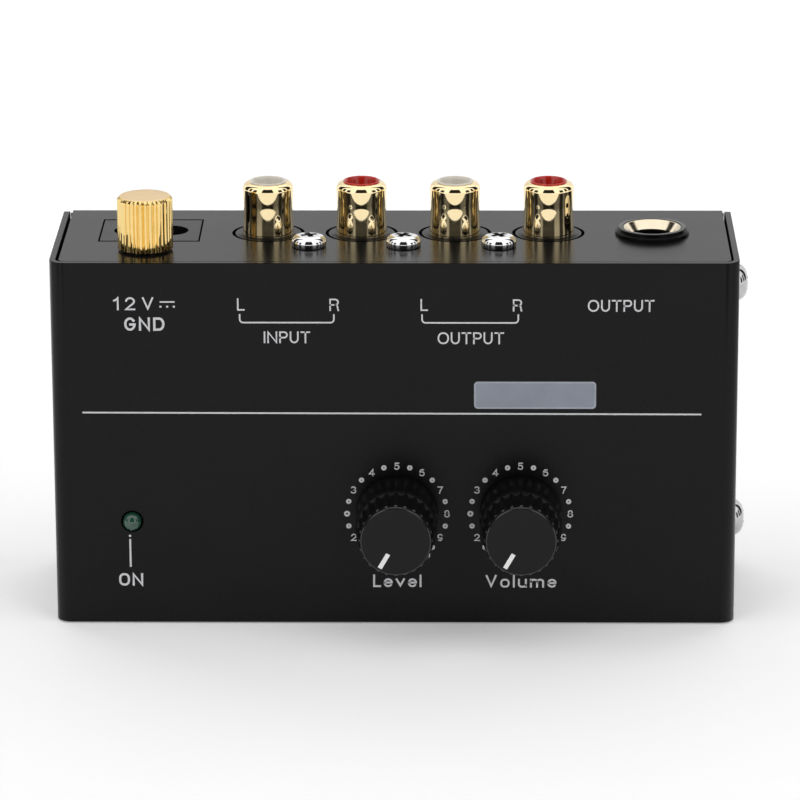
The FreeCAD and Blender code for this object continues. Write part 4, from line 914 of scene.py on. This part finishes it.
def wmath(op, a, b=0.0):
    x = nt.nodes.new("ShaderNodeMath")
    x.operation = op
    for i, v in ((0, a), (1, b)):
        if isinstance(v, (int, float)):
            x.inputs[i].default_value = v
        else:
            nt.links.new(v, x.inputs[i])
    return x.outputs[0]


def step(value, a, z, lo=0.0, hi=1.0):
    r = nt.nodes.new("ShaderNodeMapRange")
    r.interpolation_type = "SMOOTHSTEP"
    for key, v in (("From Min", a), ("From Max", z), ("To Min", lo), ("To Max", hi)):
        r.inputs[key].default_value = v
    nt.links.new(value, r.inputs["Value"])
    return r.outputs["Result"]


turn = wmath("DEGREES", wmath("ARCTAN2", sp.outputs["X"], wmath("MULTIPLY", sp.outputs["Y"], -1.0)))
azim = wmath("ABSOLUTE", turn)
elev = wmath("DEGREES", wmath("ARCSINE", sp.outputs["Z"]))
# Two big soft lights in front with a dark gap between them, darker gaps beside the backdrop.
gap = wmath("MULTIPLY", step(azim, 24.0, 30.0, 1.0, 0.0), wmath("MULTIPLY", step(elev, 4.0, 7.0), step(elev, 52.0, 62.0, 1.0, 0.0)))
flank = wmath("MULTIPLY", wmath("MULTIPLY", step(azim, 98.0, 104.0), step(azim, 122.0, 132.0, 1.0, 0.0)),
              wmath("MULTIPLY", step(elev, -3.0, 1.0), step(elev, 60.0, 72.0, 1.0, 0.0)))
stripe = wmath("MAXIMUM", wmath("MULTIPLY", step(azim, 50.0, 53.0), step(azim, 68.0, 72.0, 1.0, 0.0)),
               wmath("MULTIPLY", step(azim, 78.0, 81.0), step(azim, 92.0, 96.0, 1.0, 0.0)))
stripe = wmath("MULTIPLY", stripe, wmath("MULTIPLY", step(elev, 2.0, 6.0), step(elev, 30.0, 36.0, 1.0, 0.0)))
flank = wmath("MAXIMUM", flank, stripe)
far = wmath("MULTIPLY", wmath("MULTIPLY", step(azim, 176.4, 177.4), step(elev, -2.0, -0.5)), step(elev, 4.0, 7.0, 1.0, 0.0))
dark = wmath("MAXIMUM", wmath("MAXIMUM", gap, flank), far)
back = step(azim, 132.0, 150.0, 0.0, 1.0)
side = step(turn, -180.0, 180.0, 0.0, 1.0)
rear = wmath("MULTIPLY", back, wmath("SUBTRACT", 0.46, wmath("MULTIPLY", step(sp.outputs["X"], -0.25, 0.25), 0.10)))
low = wmath("MULTIPLY", rear, step(elev, 24.0, 44.0, 1.0, 0.0))
level = wmath("MULTIPLY", wmath("SUBTRACT", 1.0, wmath("MULTIPLY", dark, 0.985)), wmath("SUBTRACT", 1.30, low))
nt.links.new(level, bg.inputs["Strength"])
bg.inputs["Color"].default_value = (1.0, 1.0, 1.0, 1.0)

cam_data = bpy.data.cameras.new("camera")
cam_data.sensor_width = 36.0
cam_data.sensor_height = 36.0
cam_data.sensor_fit = "HORIZONTAL"
cam_data.lens = 221.382
cam_data.clip_start = 0.01
cam_data.clip_end = 20.0
cam = bpy.data.objects.new("camera", cam_data)
sc.collection.objects.link(cam)
r = Vector((0.999893, 0.01426, -0.003136))
u = Vector((-0.001157, 0.291488, 0.956574))
k = Vector((0.014555, -0.956468, 0.291474))
loc = Vector((12.359, -770.509, 267.299)) * MM
cam.matrix_world = Matrix(((r.x, u.x, k.x, loc.x), (r.y, u.y, k.y, loc.y), (r.z, u.z, k.z, loc.z), (0, 0, 0, 1)))
sc.camera = cam
